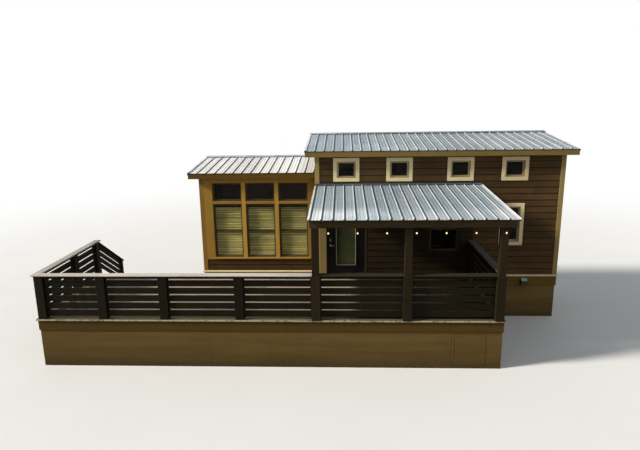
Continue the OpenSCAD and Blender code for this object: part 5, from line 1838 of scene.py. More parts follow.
def build_steps():
    """Back steps with stringers, two boards to a tread, and a sloping hand rail."""
    base = Shape(71)
    base.absorb(dressed("step_stringers"), 0, 0.4, Y)
    base.piece("stringer_boards", "rail", "rail_wood", "step_stringers")
    low, high = span("step_treads")
    riser, going = DECK / 6, 0.280
    tread = Shape(72)
    z = DECK - riser
    for y in (0.046, 0.1935):
        tread.board((low.x, y, z - 0.038), (high.x, y + 0.1395, z), X, 0.005)
    steps = Shape(73)
    steps.absorb(in_a_row(tread, 5, (0, going, -riser), 74, "tread"))
    screws = Screws("cap")
    for i in range(5):
        for x in (low.x + 0.043, (low.x + high.x) / 2, high.x - 0.043):
            for y in (0.08, 0.15, 0.23, 0.30):
                screws.put((x, y + i * going, z - i * riser - 0.0004), UP)
    screws.drive(steps, 1)
    steps.piece("tread_boards", "tread dark_screw", "cap_wood", "step_treads")
    rail = Shape(75)
    rail.absorb(dressed("step_rail"), 0, 0.6, Y)
    rail.piece("hand_rail_boards", "rail", "rail_wood", "step_rail")


# Porch


def build_beam():
    """Built-up beam of three plies with staggered butt joints, and its bolts at the posts."""
    beam = Shape(81)
    ply = (BEAM_Y1 - BEAM_Y0) / 3
    for i, joints in enumerate(([POSTS[1]], [], [POSTS[1] - 0.9])):
        a, b = BEAM_Y0 + i * ply, BEAM_Y0 + (i + 1) * ply
        stops = [0.0] + joints + [PORCH.x1 - 0.018]
        for c, d in zip(stops, stops[1:]):
            beam.board((c, a + 0.0004, BEAM_LOW), (d - 0.001, b - 0.0004, porch_under(a) - 0.001), X, 0.004)
    bolts = Screws("bolt")
    for x in POSTS:
        for dx in (-0.045, 0.045):
            for dz in (0.045, 0.125):
                bolts.put((x + dx, BEAM_Y0 + 0.0004, BEAM_LOW + dz), (0, -1, 0))
    bolts.drive(beam, 1)
    beam.piece("beam_plies", "beam dark_screw", "porch_wood", "porch_beam")


def build_posts():
    """Porch posts, boxed by boards up to the height of the rail."""
    posts = Shape(82)
    front, out = DECK_F - 0.042 - EDGE, POST_H + EDGE
    for x in POSTS:
        posts.board((x - POST_H, BEAM_Y0, DECK), (x + POST_H, BEAM_Y1, BEAM_LOW), Z, 0.005)
        posts.board((x - HALF, front, DECK), (x - out, BEAM_Y1, CAP_LOW), Z, 0.003)
        posts.board((x + out, front, DECK), (x + HALF, BEAM_Y1, CAP_LOW), Z, 0.003)
        posts.board((x - HALF, BEAM_Y0 - 0.012, DECK), (x + HALF, BEAM_Y0 - EDGE, CAP_LOW), Z, 0.003)
    posts.piece("post_boards", "porch", "porch_wood", "porch_posts")


def under_porch(p):
    """Lifts a point to the underside of the porch roof's boards."""
    return (p[0], p[1], p[2] + porch_under(p[1]))


def build_porch_boards():
    """Roof boards on rafters, a ledger on the wall, and ties that hold the rafters to it."""
    roof = Shape(83)
    x0, x1, y0 = PORCH.x0 + 0.010, PORCH.x1 - 0.010, PORCH.y0 + 0.012
    count = round(-y0 / 0.1397)
    pitch = -y0 / count
    plank = Shape(84)
    for a, b in ((x0, 1.85), (1.852, x1)):
        plank.board((a, y0 + 0.001, 0), (b, y0 + pitch - 0.001, BOARDS_T - 0.001), X, 0.003)
    row = in_a_row(plank, count, (0, pitch, 0), 85, "porch")
    for vertex in row.vertices:
        vertex.co.z += porch_under(vertex.co.y)
    roof.absorb(row)
    step, end = (PORCH.x1 - PORCH.x0 - 0.100) / 7, -0.0385
    top = porch_under(end)
    ties = Screws("tie")
    for i in range(8):
        x = PORCH.x0 + 0.030 + i * step
        roof.board((x, BEAM_Y1 + EDGE, -0.120), (x + 0.040, end, -EDGE), Y, 0.003, bend=under_porch)
        for side in (-1, 1):
            edge = x + 0.020 + side * 0.0215
            for dz in (-0.05, -0.09):
                ties.put((edge, end - 0.015, top + dz), (side, 0, 0))
            low, high = (edge - 0.001, end - 0.032, top - 0.105), (edge + 0.001, end - 0.001, top - 0.035)
            roof.board(low, high, Z, 0.0003, part=1)
    roof.board((x0, -0.0375, -0.150), (x1, -0.0002, -EDGE), X, 0.003, bend=under_porch)
    ties.drive(roof, 1)
    roof.piece("porch_roof_boards", "porch zinc", "roof_wood", "porch_roof_frame")


def build_lights():
    """A cord on hooks along the beam, with seven hanging lamps."""
    y, z = BEAM_Y0 - 0.027, BEAM_LOW + 0.012
    lamps = Shape(91)
    low, high = span("string_lights")
    stops = [low.x] + [low.x + 0.3 + 0.5 * i for i in range(7)] + [high.x]
    lamps.tube([(x, y, z) for x in stops], 0.0042, 10)
    step, x, base, radius = 0.583, 0.386, BEAM_LOW - 0.097, 0.024
    holder = Shape(92)
    holder.tube([(x, y, base + 0.050), (x, y, z)], 0.0034)
    neck = [(0.0, 0.010), (0.0125, 0.010), (0.0130, 0.014), (0.0130, 0.040), (0.0122, 0.046), (0.0105, 0.052)]
    neck += [(0.0060, 0.060), (0.0042, 0.068), (0.0, 0.068)]
    holder.turned(neck, (x, y, base + 0.008), UP, 20)
    for i in range(4):
        ring = [(0.0129, 0.0), (0.0138, 0.0012), (0.0138, 0.0022), (0.0129, 0.0034)]
        holder.turned(ring, (x, y, base + 0.024 + 0.006 * i), UP, 20)
    holder.tube([(x, y, z + 0.006), (x, y + 0.010, z + 0.009), (x, y + 0.0268, z)], 0.0026)
    lamps.absorb(in_a_row(holder, 7, (step, 0, 0), 93, "rubber", 0.0), 0, soft=True)
    glass = Shape(94)
    outline = [(0.0, -radius)]
    for degrees in range(15, 136, 12):
        t = math.radians(degrees)
        outline.append((radius * math.sin(t), -radius * math.cos(t)))
    outline += [(0.0148, 0.0200), (0.0120, 0.0230), (0.0112, 0.0260), (0.0, 0.0260)]
    glass.turned(outline, (x, y, base), UP)
    lamps.absorb(in_a_row(glass, 7, (step, 0, 0), 95, "bulb", 0.0), 1, soft=True)
    lamps.piece("lamp_string", "rubber bulb", "bulb", "string_lights")


def build_porch():
    """Beam, posts, roof boards and lamps."""
    build_beam()
    build_posts()
    build_porch_boards()
    build_lights()


# Windows

SASH_W = 0.045


def mitred(shape, x0, x1, z0, z1, outline, part=0, shade=None):
    """A moulding mitred round an opening.

    The outline's pairs are the distance in from the opening's edge and the place along Y.
    """
    corners = [((x0, z0), (1, 1)), ((x1, z0), (-1, 1)), ((x1, z1), (-1, -1)), ((x0, z1), (1, -1))]
    ring = outline if polygon_turn(outline) > 0 else outline[::-1]
    count, first = len(ring), len(shape.points)
    faces = [[i + count, (i + 1) % count + count, (i + 1) % count, i] for i in range(count)]
    for k in range(4):
        points = []
        for (x, z), (right, up) in (corners[k], corners[(k + 1) % 4]):
            points += [(x + right * inset, y, z + up * inset) for inset, y in ring]
        shape.add(points, faces, Z if k % 2 else X, shade, None, part)
    shape.weld(first)


def sash(shape, x, z, w, h, wide, y, part):
    """A moulded frame round a pane, behind the wall face at y, with a bead at the glass."""
    y0, y1 = y + 0.020, y + 0.080
    outline = [(0, y0), (wide - 0.016, y0), (wide - 0.012, y0 + 0.004), (wide - 0.012, y0 + 0.014)]
    outline += [(wide - 0.003, y0 + 0.022), (wide, y0 + 0.024), (wide, y1 - 0.008), (wide - 0.008, y1)]
    outline.append((0, y1))
    mitred(shape, x - w / 2, x + w / 2, z, z + h, outline, part)


def hung(shape, x, z, w, h, y, part):
    """A hung window: its frame, the meeting rail in two steps, and a sash lock."""
    sash(shape, x, z, w, h, SASH_W, y, part)
    half, m = w / 2 - SASH_W - 0.001, z + h / 2
    rail = [(y + 0.028, m - 0.016), (y + 0.032, m - 0.020), (y + 0.072, m - 0.020), (y + 0.072, m + 0.012)]
    rail += [(y + 0.052, m + 0.012), (y + 0.052, m + 0.020), (y + 0.032, m + 0.020), (y + 0.028, m + 0.016)]
    shape.prism(rail, x - half, x + half, X, part=part)
    knob = [(0.0, 0.0), (0.016, 0.0), (0.016, 0.004), (0.013, 0.008), (0.0, 0.008)]
    shape.turned(knob, (x, y + 0.062, m + 0.012), UP, 16, part=part)
    shape.board((x - 0.005, y + 0.054, m + 0.019), (x + 0.030, y + 0.064, m + 0.025), X, part=part)


def slat_section(y, z, wide, rise, tilt, low, high):
    """Outline of a curved, tilted slat about a point, from low to high of its middle line."""
    ring, cos, sin = [], math.cos(tilt), math.sin(tilt)
    for level, order in ((low, range(5)), (high, range(4, -1, -1))):
        for k in order:
            u, v = (k / 4 - 0.5) * wide, rise * (1 - (k / 2 - 1) ** 2) + level
            ring.append((y + u * cos - v * sin, z + u * sin + v * cos))
    return ring


def build_blinds(s):
    """Blinds behind the lower annex windows: slats, head and bottom rails, and cords."""
    blinds = Shape(102)
    low, high, y = BAY_Z + 0.025, BAY_Z + BAY_LOW - 0.005, ANNEX_Y + 0.092
    half, first = BAY_W / 2 - 0.027, low + 0.045
    section = slat_section(y, first, 0.050, 0.0022, math.radians(s.slat_tilt), -0.0009, 0)
    count = int((high - 0.050 - first) / s.slat_pitch)
    for number, x in enumerate(BAYS):
        slat = Shape(103 + number)
        slat.prism(section, x - half, x + half, X, 0.0)
        blinds.absorb(in_a_row(slat, count, (0, 0, s.slat_pitch), 110 + number, "blind"))
        blinds.board((x - half, y - 0.011, high - 0.045), (x + half, y + 0.011, high), X, 0.003)
        blinds.board((x - half, y - 0.010, low), (x + half, y + 0.010, low + 0.018), X, 0.003)
        for side in (-0.62, 0.62):
            for off in (-0.0112, 0.0112):
                cord = x + side * half
                blinds.tube([(cord, y + off, low + 0.010), (cord, y + off, high - 0.02)], 0.0009, 6)
    blinds.piece("annex_blind_slats", "blind", "blind", "annex_blinds")


def build_windows(s):
    """Window frames with beads and meeting rails, and the blinds of the annex."""
    frames = Shape(101)
    for window in HIGH:
        sash(frames, *window, SASH_W, 0, 0)
    hung(frames, *SIDE_WIN, 0, 0)
    hung(frames, *PORCH_WIN, 0, 1)
    bar = BAY_Z + BAY_LOW
    for x in BAYS:
        x0, x1 = x - BAY_W / 2, x + BAY_W / 2
        hung(frames, x, BAY_Z, BAY_W, BAY_LOW, ANNEX_Y, 1)
        frames.board((x0, ANNEX_Y + 0.010, bar), (x1, ANNEX_Y + 0.090, bar + BAY_BAR), X, 0.003, part=1)
        sash(frames, x, bar + BAY_BAR, BAY_W, BAY_TOP, 0.040, ANNEX_Y, 1)
    frames.piece("window_sashes", "taupe bronze", "sash", "window_frames")
    set_finish("glass", "window_glass")
    build_blinds(s)


# Door

SCREW = [(0.0, 0), (0.0040, 0), (0.0034, 0.0008), (0.0012, 0.0008), (0.0, 0.0003)]
PIN_X, PIN_Y = LEAF_X1 + 0.0025, WALL + 0.010
HINGES = [LEAF_Z0 + 0.200, LEAF_Z0 + DOOR_H / 2, LEAF_Z0 + DOOR_H - 0.200]
LOCK_X, LOCK_Z = LEAF_X0 + 0.058, LEAF_Z0 + 0.730
PANE_X0, PANE_X1 = LITE_X - LITE_W / 2, LITE_X + LITE_W / 2
PANE_TOP = LITE_Z + LITE_H


def build_jambs():
    """Door frame: jambs with stops and seals, a ribbed sill, and flat trim."""
    jambs = Shape(121)
    x0, x1, front, low, r = DOOR_X, DOOR_END, -0.006, FLOOR + 0.020, 0.003
    inner, stop = 0.035, 0.047
    jambs.board((x0, front, low), (x0 + inner, WALL, HEAD), Z, r)
    jambs.board((x1 - inner, front, low), (x1, WALL, HEAD), Z, r)
    jambs.board((x0 + inner, front, HEAD - inner), (x1 - inner, WALL, HEAD), X, r)
    for a, b in ((x0 + inner, x0 + stop), (x1 - stop, x1 - inner)):
        jambs.board((a, 0.034, low), (b, 0.054, HEAD - inner), Z)
    jambs.board((x0 + stop, 0.034, HEAD - stop), (x1 - stop, 0.054, HEAD - inner), X)
    for x in (x0 + 0.040, x1 - 0.040):
        jambs.tube([(x, 0.058, low + 0.002), (x, 0.058, HEAD - 0.038)], 0.0035, part=2)
    sill = [(front, FLOOR), (WALL, FLOOR), (WALL, low), (0.060, low), (0.050, FLOOR + 0.016)]
    sill += [(0.0, FLOOR + 0.010), (front, FLOOR + 0.007)]
    jambs.prism(sill, x0, x1, X, 0.5, 1)
    for k in range(5):
        y, z = 0.004 + k * 0.009, FLOOR + 0.0106 + k * 0.0011
        jambs.board((x0 + 0.036, y, z), (x1 - 0.036, y + 0.004, z + 0.0024), X, 0.0008, part=1)
    jambs.board((x1 - 0.004, -0.018, FLOOR), (x1 + 0.036, 0, HEAD + 0.036), Z, r, part=3)
    jambs.board((x0 - 0.004, -0.018, HEAD - 0.004), (x1 - 0.0045, 0, HEAD + 0.036), X, r, part=3)
    jambs.piece("door_jambs", "door nickel rubber jamb_trim", "door_black", "door_frame")


def build_hinges():
    """Pins, outer knuckles and fixed leaves of the three hinges."""
    pin = [(0, 0), (0.0035, 0), (0.0040, 0.001), (0.0040, 0.099), (0.0035, 0.1), (0, 0.1)]
    knuckle = [(0.0, 0), (0.0064, 0), (0.0070, 0.0007), (0.0070, 0.0323), (0.0064, 0.033), (0.0, 0.033)]
    tip = [(0.0, 0), (0.0060, 0), (0.0064, 0.0015), (0.0040, 0.0034), (0.0, 0.0042)]
    hinges = Shape(122)
    for z in HINGES:
        hinges.turned(pin, (PIN_X, PIN_Y, z - 0.050), UP, 16)
        for k in (z - 0.050, z + 0.017):
            hinges.turned(knuckle, (PIN_X, PIN_Y, k), UP, 20)
            low, high = (PIN_X + 0.001, PIN_Y - 0.010, k), (PIN_X + 0.030, PIN_Y - 0.006, k + 0.033)
            hinges.board(low, high, Z, 0.0008)
            hinges.turned(SCREW, (PIN_X + 0.021, PIN_Y - 0.006, k + 0.0165), (0, 1, 0), 12)
        for end, way in ((z + 0.050, 1), (z - 0.050, -1)):
            hinges.turned(tip, (PIN_X, PIN_Y, end - way * 0.0005), (0, 0, way), 16)
    hinges.piece("hinge_leaves", "nickel", "nickel", "door_hinges")


def build_leaf():
    """The leaf round its opening, with its bottom seal, moving hinge leaves and lock plate."""
    leaf = Shape(123)
    z0, z1 = LEAF_Z0, LEAF_Z0 + DOOR_H
    for x0, x1 in ((LEAF_X0, PANE_X0), (PANE_X1, LEAF_X1)):
        leaf.board((x0, LEAF_Y0, z0), (x1, LEAF_Y1, z1), Z, 0.003, 0.5)
    for low, high in ((z0, LITE_Z), (PANE_TOP, z1)):
        leaf.board((PANE_X0, LEAF_Y0 + 0.0001, low), (PANE_X1, LEAF_Y1 - 0.0001, high), X, 0.0004, 0.5)
    low, high = (LEAF_X0 + 0.002, LEAF_Y0 + 0.006), (LEAF_X1 - 0.002, LEAF_Y1 - 0.006)
    leaf.board((*low, z0 - 0.0035), (*high, z0 + 0.001), X, 0.001, 0.5, 1)
    knuckle = [(0.0043, 0), (0.0064, 0), (0.0070, 0.0007), (0.0070, 0.0313), (0.0064, 0.032), (0.0043, 0.032)]
    for z in HINGES:
        leaf.turned(knuckle, (PIN_X, PIN_Y, z - 0.016), UP, 20, part=2)
        low, high = (PIN_X - 0.040, WALL, z - 0.016), (PIN_X - 0.005, PIN_Y - 0.004, z + 0.016)
        leaf.board(low, high, Z, 0.0008, part=2)
        for dx in (0.030, 0.018):
            leaf.turned(SCREW, (PIN_X - dx, PIN_Y - 0.004, z), (0, 1, 0), 12, part=2)
    low = (LEAF_X0 - 0.0008, LEAF_Y0 + 0.010, LOCK_Z - 0.028)
    leaf.board(low, (LEAF_X0 + 0.002, LEAF_Y1 - 0.010, LOCK_Z + 0.028), Z, 0.0004, part=2)
    leaf.piece("door_leaf", "door rubber nickel", "door_black", "entry_door", body="door")


def build_lite():
    """Mouldings and beads on both faces of the door's light, with their screws."""
    lite = Shape(124)
    x0, x1, z0, z1 = PANE_X0 - 0.022, PANE_X1 + 0.022, LITE_Z - 0.022, PANE_TOP + 0.022
    side = [(0, 0.0), (0, 0.003), (0.004, 0.007), (0.010, 0.0085), (0.026, 0.008), (0.034, 0.005)]
    side.append((0.034, 0.0))
    cover = [(0, 0.0), (0, 0.0045), (0.022, 0.0042), (0.022, 0.0)]
    bead = [(0, 0.0), (0, 0.0078), (0.003, 0.0090), (0.012, 0.0090), (0.015, 0.0060), (0.015, 0.0)]
    for y, way in ((LEAF_Y0, -1), (LEAF_Y1, 1)):
        for outline, inset, low, high, part in (
            (side, 0, 0, 0, 0), (cover, 0.034, 0.001, 0.001, 0), (bead, 0.048, 0.004, 0.048, 1),
        ):
            section = [(u, y + way * v) for u, v in outline]
            mitred(lite, x0 + inset, x1 - inset, z0 + low, z1 - high, section, part, 0.5)
    y = LEAF_Y0 + 0.0098
    seat = [(0, LEAF_Y0), (0.012, LEAF_Y0), (0.012, y), (0, y)]
    mitred(lite, PANE_X0, PANE_X1, LITE_Z, PANE_TOP, seat, 0, 0.5)
    head = [(0.0, 0), (0.0048, 0), (0.0044, 0.0010), (0.0, 0.0014)]
    for z in (z0 + 0.017, z0 + 0.40, z0 + 0.80, z0 + 1.20, z1 - 0.017):
        for x in (x0 + 0.015, x1 - 0.015):
            lite.turned(head, (x, LEAF_Y1 + 0.0085, z), (0, 1, 0), 14)
    lite.piece("door_light_frame", "door lite", "lite_frame", "door_lite", body="door")
    set_finish("glass", "door_glass")


def build_door_blind(s):
    """The blind between the panes of the door's light."""
    y, a, b = LEAF_Y0 + 0.027, PANE_X0, PANE_X1
    blind, slat = Shape(125), Shape(126)
    section = slat_section(y, LITE_Z + 0.030, 0.0170, 0.0010, math.radians(62), -0.0002, 0.0002)
    slat.prism(section, a + 0.014, b - 0.014, X, 0.0)
    count = int((LITE_H - 0.075) / s.door_slat_pitch)
    blind.absorb(in_a_row(slat, count, (0, 0, s.door_slat_pitch), 127, "door_blind"))
    blind.board((a + 0.001, y - 0.005, PANE_TOP - 0.034), (b - 0.001, y + 0.005, PANE_TOP), X, part=1)
    blind.board((a + 0.012, y - 0.004, LITE_Z + 0.002), (b - 0.012, y + 0.004, LITE_Z + 0.016), X)
    for x in (a + 0.09, LITE_X, b - 0.09):
        blind.tube([(x, y - 0.0045, LITE_Z + 0.010), (x, y - 0.0045, PANE_TOP - 0.02)], 0.0005, 5)
    blind.piece("door_blind_slats", "door_blind lite", "blind", "door_blind", body="door")


def lever_handle(lever, y, way):
    """Rose, neck and lever on one face of the leaf."""
    rose = [(0.0, 0), (0.030, 0), (0.030, 0.004), (0.028, 0.0075), (0.022, 0.0095), (0.013, 0.010)]
    neck = [(0.0, 0.009), (0.012, 0.009), (0.0105, 0.014), (0.0095, 0.022), (0.0095, 0.046), (0.0085, 0.052)]
    lever.turned(rose + [(0.0, 0.010)], (LOCK_X, y, LOCK_Z), (0, way, 0), 36)
    lever.turned(neck + [(0.0, 0.052)], (LOCK_X, y, LOCK_Z), (0, way, 0))
    path, radii = [], []
    for k in range(13):
        t = k / 12
        out, lift = 0.046 + 0.003 * math.sin(math.pi * t), 0.004 * math.sin(math.pi * t * 0.9)
        path.append((LOCK_X - 0.002 + 0.112 * t, y + way * out, LOCK_Z + lift))
        radii.append(0.0088 - 0.0022 * t if k < 12 else 0.0048)
    lever.tube(path, radii, 16)


def build_lever():
    """Key lock above and lever handle below on both faces of the leaf."""
    x, z, lever = LOCK_X, LOCK_Z, Shape(128)
    button = [(0.0, 0), (0.0055, 0), (0.0050, 0.0012), (0.0, 0.0014)]
    key = [(0.0, 0), (0.0125, 0), (0.0120, 0.0040), (0.0, 0.0056)]
    turn = [(0.0, 0), (0.030, 0), (0.030, 0.010), (0.027, 0.017), (0.020, 0.021), (0.0, 0.022)]
    y = LEAF_Y0
    lever_handle(lever, y, -1)
    lever.board((x - 0.021, y - 0.016, z + 0.098), (x + 0.021, y, z + 0.200), Z, 0.009)
    for row in range(3):
        for side in (-0.009, 0.009):
            lever.turned(button, (x + side, y - 0.0158, z + 0.186 - 0.013 * row), (0, -1, 0), 12, part=1)
    lever.turned(key, (x, y - 0.0155, z + 0.122), (0, -1, 0))
    lever.board((x - 0.0012, y - 0.0217, z + 0.116), (x + 0.0012, y - 0.0207, z + 0.128), Z, 0.0002, part=1)
    y = LEAF_Y1
    lever_handle(lever, y, 1)
    lever.turned(turn, (x, y, z + 0.150), (0, 1, 0), 36)
    lever.board((x - 0.004, y + 0.0215, z + 0.134), (x + 0.004, y + 0.033, z + 0.166), Z, 0.003)
    lever.piece("lock_and_lever", "nickel rubber", "nickel", "door_handle", body="door")


def build_door(s):
    """Door frame, hinges, leaf with its light, blind, lock and lever."""
    build_jambs()
    build_hinges()
    build_leaf()
    build_lite()
    build_door_blind(s)
    build_lever()


# Stage

STAGE_SIZE = 160
WHITE = (1.0, 1.0, 1.0)


def build_stage_floor(look):
    """A pale floor that fades to white far from the house, where the camera sees it."""
    bpy.ops.mesh.primitive_grid_add(size=STAGE_SIZE, x_subdivisions=2, y_subdivisions=2, location=(0, 0, 0))
    floor = bpy.context.object
    floor.name = "stage_floor"
    material, g, shader = new_finish("pale_studio_floor")
    spot = g.spot()
    cloud = g.noise(spot, 0.35, 5.0, 0.6)
    seen = g.add("ShaderNodeLightPath").outputs["Is Camera Ray"]
    pale = g.blend(g.steps(cloud, 0.35, 0.65), look.floor, times(look.floor, 0.97))
    g.set(shader, Base_Color=g.blend(seen, look.floor_bounce, pale),
          Roughness=g.steps(cloud, 0.3, 0.7, 0.75, 0.9),
          Normal=g.bump(g.noise(spot, 40.0, 3.0, 0.5), 0.05, 0.001))
    away = g.add("ShaderNodeVectorMath", {"operation": "LENGTH"}, i0=spot).outputs["Value"]
    far = g.times(g.soft(away, look.clear_from, look.clear_to), seen)
    white = g.add("ShaderNodeEmission", None, Color=WHITE, Strength=1.0)
    both = g.add("ShaderNodeMixShader", None, i0=far, i1=shader.outputs[0], i2=white.outputs[0])
    g.set(g.tree.nodes["Material Output"], Surface=both.outputs[0])
    floor.data.materials.append(material)


def build_surroundings(look):
    """Surroundings that are white to the camera, soft light to the house, and bright in mirrored light."""
    world = bpy.data.worlds.new("white_surroundings")
    bpy.context.scene.world = world
    world.use_nodes = True
    world.node_tree.nodes.clear()
    g = Graph(world.node_tree)
    path = g.add("ShaderNodeLightPath").outputs
    soft, mirrored = times(look.sky_colour, look.sky), times(look.sky_colour, look.mirror)
    colour = g.blend(path["Is Glossy Ray"], soft, mirrored)
    seen = g.math("MAXIMUM", path["Is Camera Ray"], path["Is Transmission Ray"])
    background = g.add("ShaderNodeBackground", None, Color=g.blend(seen, colour, WHITE), Strength=1.0)
    g.add("ShaderNodeOutputWorld", None, Surface=background.outputs[0])


def build_light(name, power, azimuth, elevation, size, colour):
    """A distant light at a compass place and a height in degrees, with its size in degrees."""
    data = bpy.data.lights.new(name, "SUN")
    data.energy, data.angle, data.color = power, math.radians(size), colour
    lamp = bpy.data.objects.new(name, data)
    bpy.context.scene.collection.objects.link(lamp)
    a, e = math.radians(azimuth), math.radians(elevation)
    toward = Vector((math.sin(a) * math.cos(e), -math.cos(a) * math.cos(e), math.sin(e)))
    lamp.location = toward * 20
    lamp.rotation_euler = toward.to_track_quat("Z", "Y").to_euler()


def build_camera(look):
    """The camera at the photo's place."""
    yaw, pitch, roll, up = look.yaw, look.pitch, look.roll, Vector(UP)
    forward = Vector((math.sin(yaw), math.cos(yaw), 0))
    right = Vector((math.cos(yaw), -math.sin(yaw), 0))
    ahead = forward * math.cos(pitch) - up * math.sin(pitch)
    over = up * math.cos(pitch) + forward * math.sin(pitch)
    side = right * math.cos(roll) + over * math.sin(roll)
    top = over * math.cos(roll) - right * math.sin(roll)
    data = bpy.data.cameras.new("photo_camera")
    data.sensor_width, data.lens, data.clip_end = 36, look.lens, 300
    camera = bpy.data.objects.new("photo_camera", data)
    bpy.context.scene.collection.objects.link(camera)
    place = Matrix((side, top, -ahead)).transposed().to_4x4()
    place.translation = Vector(look.eye) + CORNER
    camera.matrix_world = place
    bpy.context.scene.camera = camera


def build_stage(look):
    """Pale floor, white surroundings, a soft sun from the left, a weak light opposite, and the camera."""
    build_stage_floor(look)
    build_surroundings(look)
    build_light("sun_left", look.sun, -76, 32, 9, look.sun_colour)
    build_light("fill_right", look.fill, 50, 28, 60, (0.90, 0.95, 1.0))
    build_camera(look)
    bpy.context.scene.view_settings.view_transform = "Standard"


# Settings, operators and panel


def length(label, text, value):
    """A property for a length in metres."""
    return bpy.props.FloatProperty(name=label, description=text, default=value, min=0.0, unit="LENGTH")


def colour_of(label, text, value):
    """A property for a colour."""
    return bpy.props.FloatVectorProperty(name=label, description=text, default=value, size=3, min=0.0,
                                         max=1.0, subtype="COLOR")


def number(label, text, value):
    """A property for a plain number."""
    return bpy.props.FloatProperty(name=label, description=text, default=value)


def place_of(label, text, value):
    """A property for a place in house measure."""
    return bpy.props.FloatVectorProperty(name=label, description=text, default=value, size=3, unit="LENGTH")


class TINYHOUSE_PG_sizes(bpy.types.PropertyGroup):
    exposure: length("Lap exposure", "Height of a lap board that shows", 0.161)
    butt_t: length("Lap butt", "How far the lower edge of a lap board stands off the wall", 0.0155)
    top_t: length("Lap top", "How far the upper edge of a lap board stands off the wall", 0.004)
    round_over: length("Trim edge", "Softened edge of trim boards", 0.003)
    low_rib: length("Low rib", "Height of the low ribs between the high ones", 0.0032)
    # Depth of the painted highlight at the lower end of each sheet.
    pale_end: length("Sheet ends", "Depth of the bright lower end of a roof sheet", 0.016)
    screw_row: length("Screw rows", "Distance between rows of roof screws", 0.61)
    deck_pitch: length("Deck boards", "Distance from one deck board to the next", 0.1437)
    slat_pitch: length("Blind pitch", "Distance between slats of the annex blinds", 0.046)
    slat_tilt: number("Blind tilt", "Tilt of the annex slats in degrees", 27.0)
    door_slat_pitch: length("Door blind pitch", "Distance between slats in the door", 0.0150)


class TINYHOUSE_PG_look(bpy.types.PropertyGroup):
    trim: colour_of("Annex trim", "Tan boards of the annex and the corners", tint(184, 143, 64))
    casing: colour_of("Casings", "Pale casings of the main body", tint(255, 233, 180))
    corner: colour_of("Corners", "Corner boards of the main body", tint(176, 152, 96))
    fascia: colour_of("Fascia", "Fascia and barge boards", tint(136, 114, 64))
    skirt: colour_of("Skirt", "Tan skirt panels", tint(112, 90, 50))
    band: colour_of("Band", "Band boards over the skirts", tint(93, 70, 31))
    siding: colour_of("Siding", "Brown lap boards", tint(87, 66, 39))
    rail: colour_of("Rail", "Dark railing", tint(33, 28, 15))
    porch: colour_of("Porch", "Dark porch timber", tint(48, 39, 21))
    cap: colour_of("Caps", "Weathered rail caps", tint(250, 240, 226))
    deck_edge: colour_of("Deck edge", "Pale deck edge", tint(124, 110, 84))
    metal: colour_of("Roof", "Roof sheet", tint(176, 191, 200))
    # A near-white copy of the roof sheet colour: painted sunlight on the annex roof.
    annex_metal: colour_of("Annex roof", "Brighter roof sheet of the annex", tint(250, 246, 241))
    bulb_glow: number("Lamp glow", "Strength of the lamps", 2.2)
    floor: colour_of("Floor", "Studio floor as the camera sees it", (0.86, 0.86, 0.86))
    floor_bounce: colour_of("Floor bounce", "Studio floor as it lights the house", (0.26, 0.25, 0.23))
    clear_from: length("Clear from", "Distance at which the floor starts to fade to white", 9.0)
    clear_to: length("Clear to", "Distance at which the floor is white", 26.0)
    sky_colour: colour_of("Sky colour", "Colour of the surroundings", (0.93, 0.97, 1.0))
    sky: number("Sky", "Strength of the surroundings as light", 0.29)
    mirror: number("Mirrored sky", "Strength of the surroundings in glossy surfaces", 0.85)
    sun: number("Sun", "Strength of the left sun", 4.2)
    fill: number("Fill", "Strength of the right light", 0.25)
    sun_colour: colour_of("Sun colour", "Warm light", (1.0, 0.95, 0.86))
    lens: number("Lens", "Focal length in millimetres", 29.870)
    yaw: number("Yaw", "Turn to the right in radians", -0.04457)
    pitch: number("Pitch", "Tilt down in radians", 0.22404)
    roll: number("Roll", "Roll in radians", -0.01362)
    eye: place_of("Camera", "Camera place in house measure", (0.68138, -13.19145, 5.46172))


class TINYHOUSE_OT_materials(bpy.types.Operator):
    """Make the materials and the trees that repeat shapes"""

    bl_idname = "tinyhouse.materials"
    bl_label = "Materials"

    def execute(self, context):
        look = context.scene.tinyhouse_look
        build_grain_group()
        build_weather_group()
        build_wear_group()
        painted_boards(look)
        stained_boards(look)
        bare_boards(look)
        sheets_and_flashings(look)
        smooth_finishes(look)
        TREES["row"] = build_row_tree()
        TREES["screws"] = build_screw_tree()
        return {"FINISHED"}


class TINYHOUSE_OT_skirts(bpy.types.Operator):
    """Build the skirt panels, hatch, bands, ledge and outlet"""

    bl_idname = "tinyhouse.skirts"
    bl_label = "Skirts"

    def execute(self, context):
        build_skirts(context.scene.tinyhouse_sizes)
        return {"FINISHED"}


class TINYHOUSE_OT_siding(bpy.types.Operator):
    """Build the lap boards"""

    bl_idname = "tinyhouse.siding"
    bl_label = "Siding"

    def execute(self, context):
        build_siding(context.scene.tinyhouse_sizes)
        return {"FINISHED"}


class TINYHOUSE_OT_trim(bpy.types.Operator):
    """Build casings, corner boards and fascia boards"""

    bl_idname = "tinyhouse.trim"
    bl_label = "Trim"

    def execute(self, context):
        build_trim(context.scene.tinyhouse_sizes)
        return {"FINISHED"}


class TINYHOUSE_OT_roofs(bpy.types.Operator):
    """Build the three ribbed roofs and their caps"""

    bl_idname = "tinyhouse.roofs"
    bl_label = "Roofs"

    def execute(self, context):
        build_roofs(context.scene.tinyhouse_sizes)
        return {"FINISHED"}


class TINYHOUSE_OT_deck(bpy.types.Operator):
    """Build the deck boards and edge boards"""

    bl_idname = "tinyhouse.deck"
    bl_label = "Deck"

    def execute(self, context):
        build_deck(context.scene.tinyhouse_sizes)
        return {"FINISHED"}


class TINYHOUSE_OT_railing(bpy.types.Operator):
    """Build rail posts, boards and caps"""

    bl_idname = "tinyhouse.railing"
    bl_label = "Railing"

    def execute(self, context):
        build_railing()
        return {"FINISHED"}


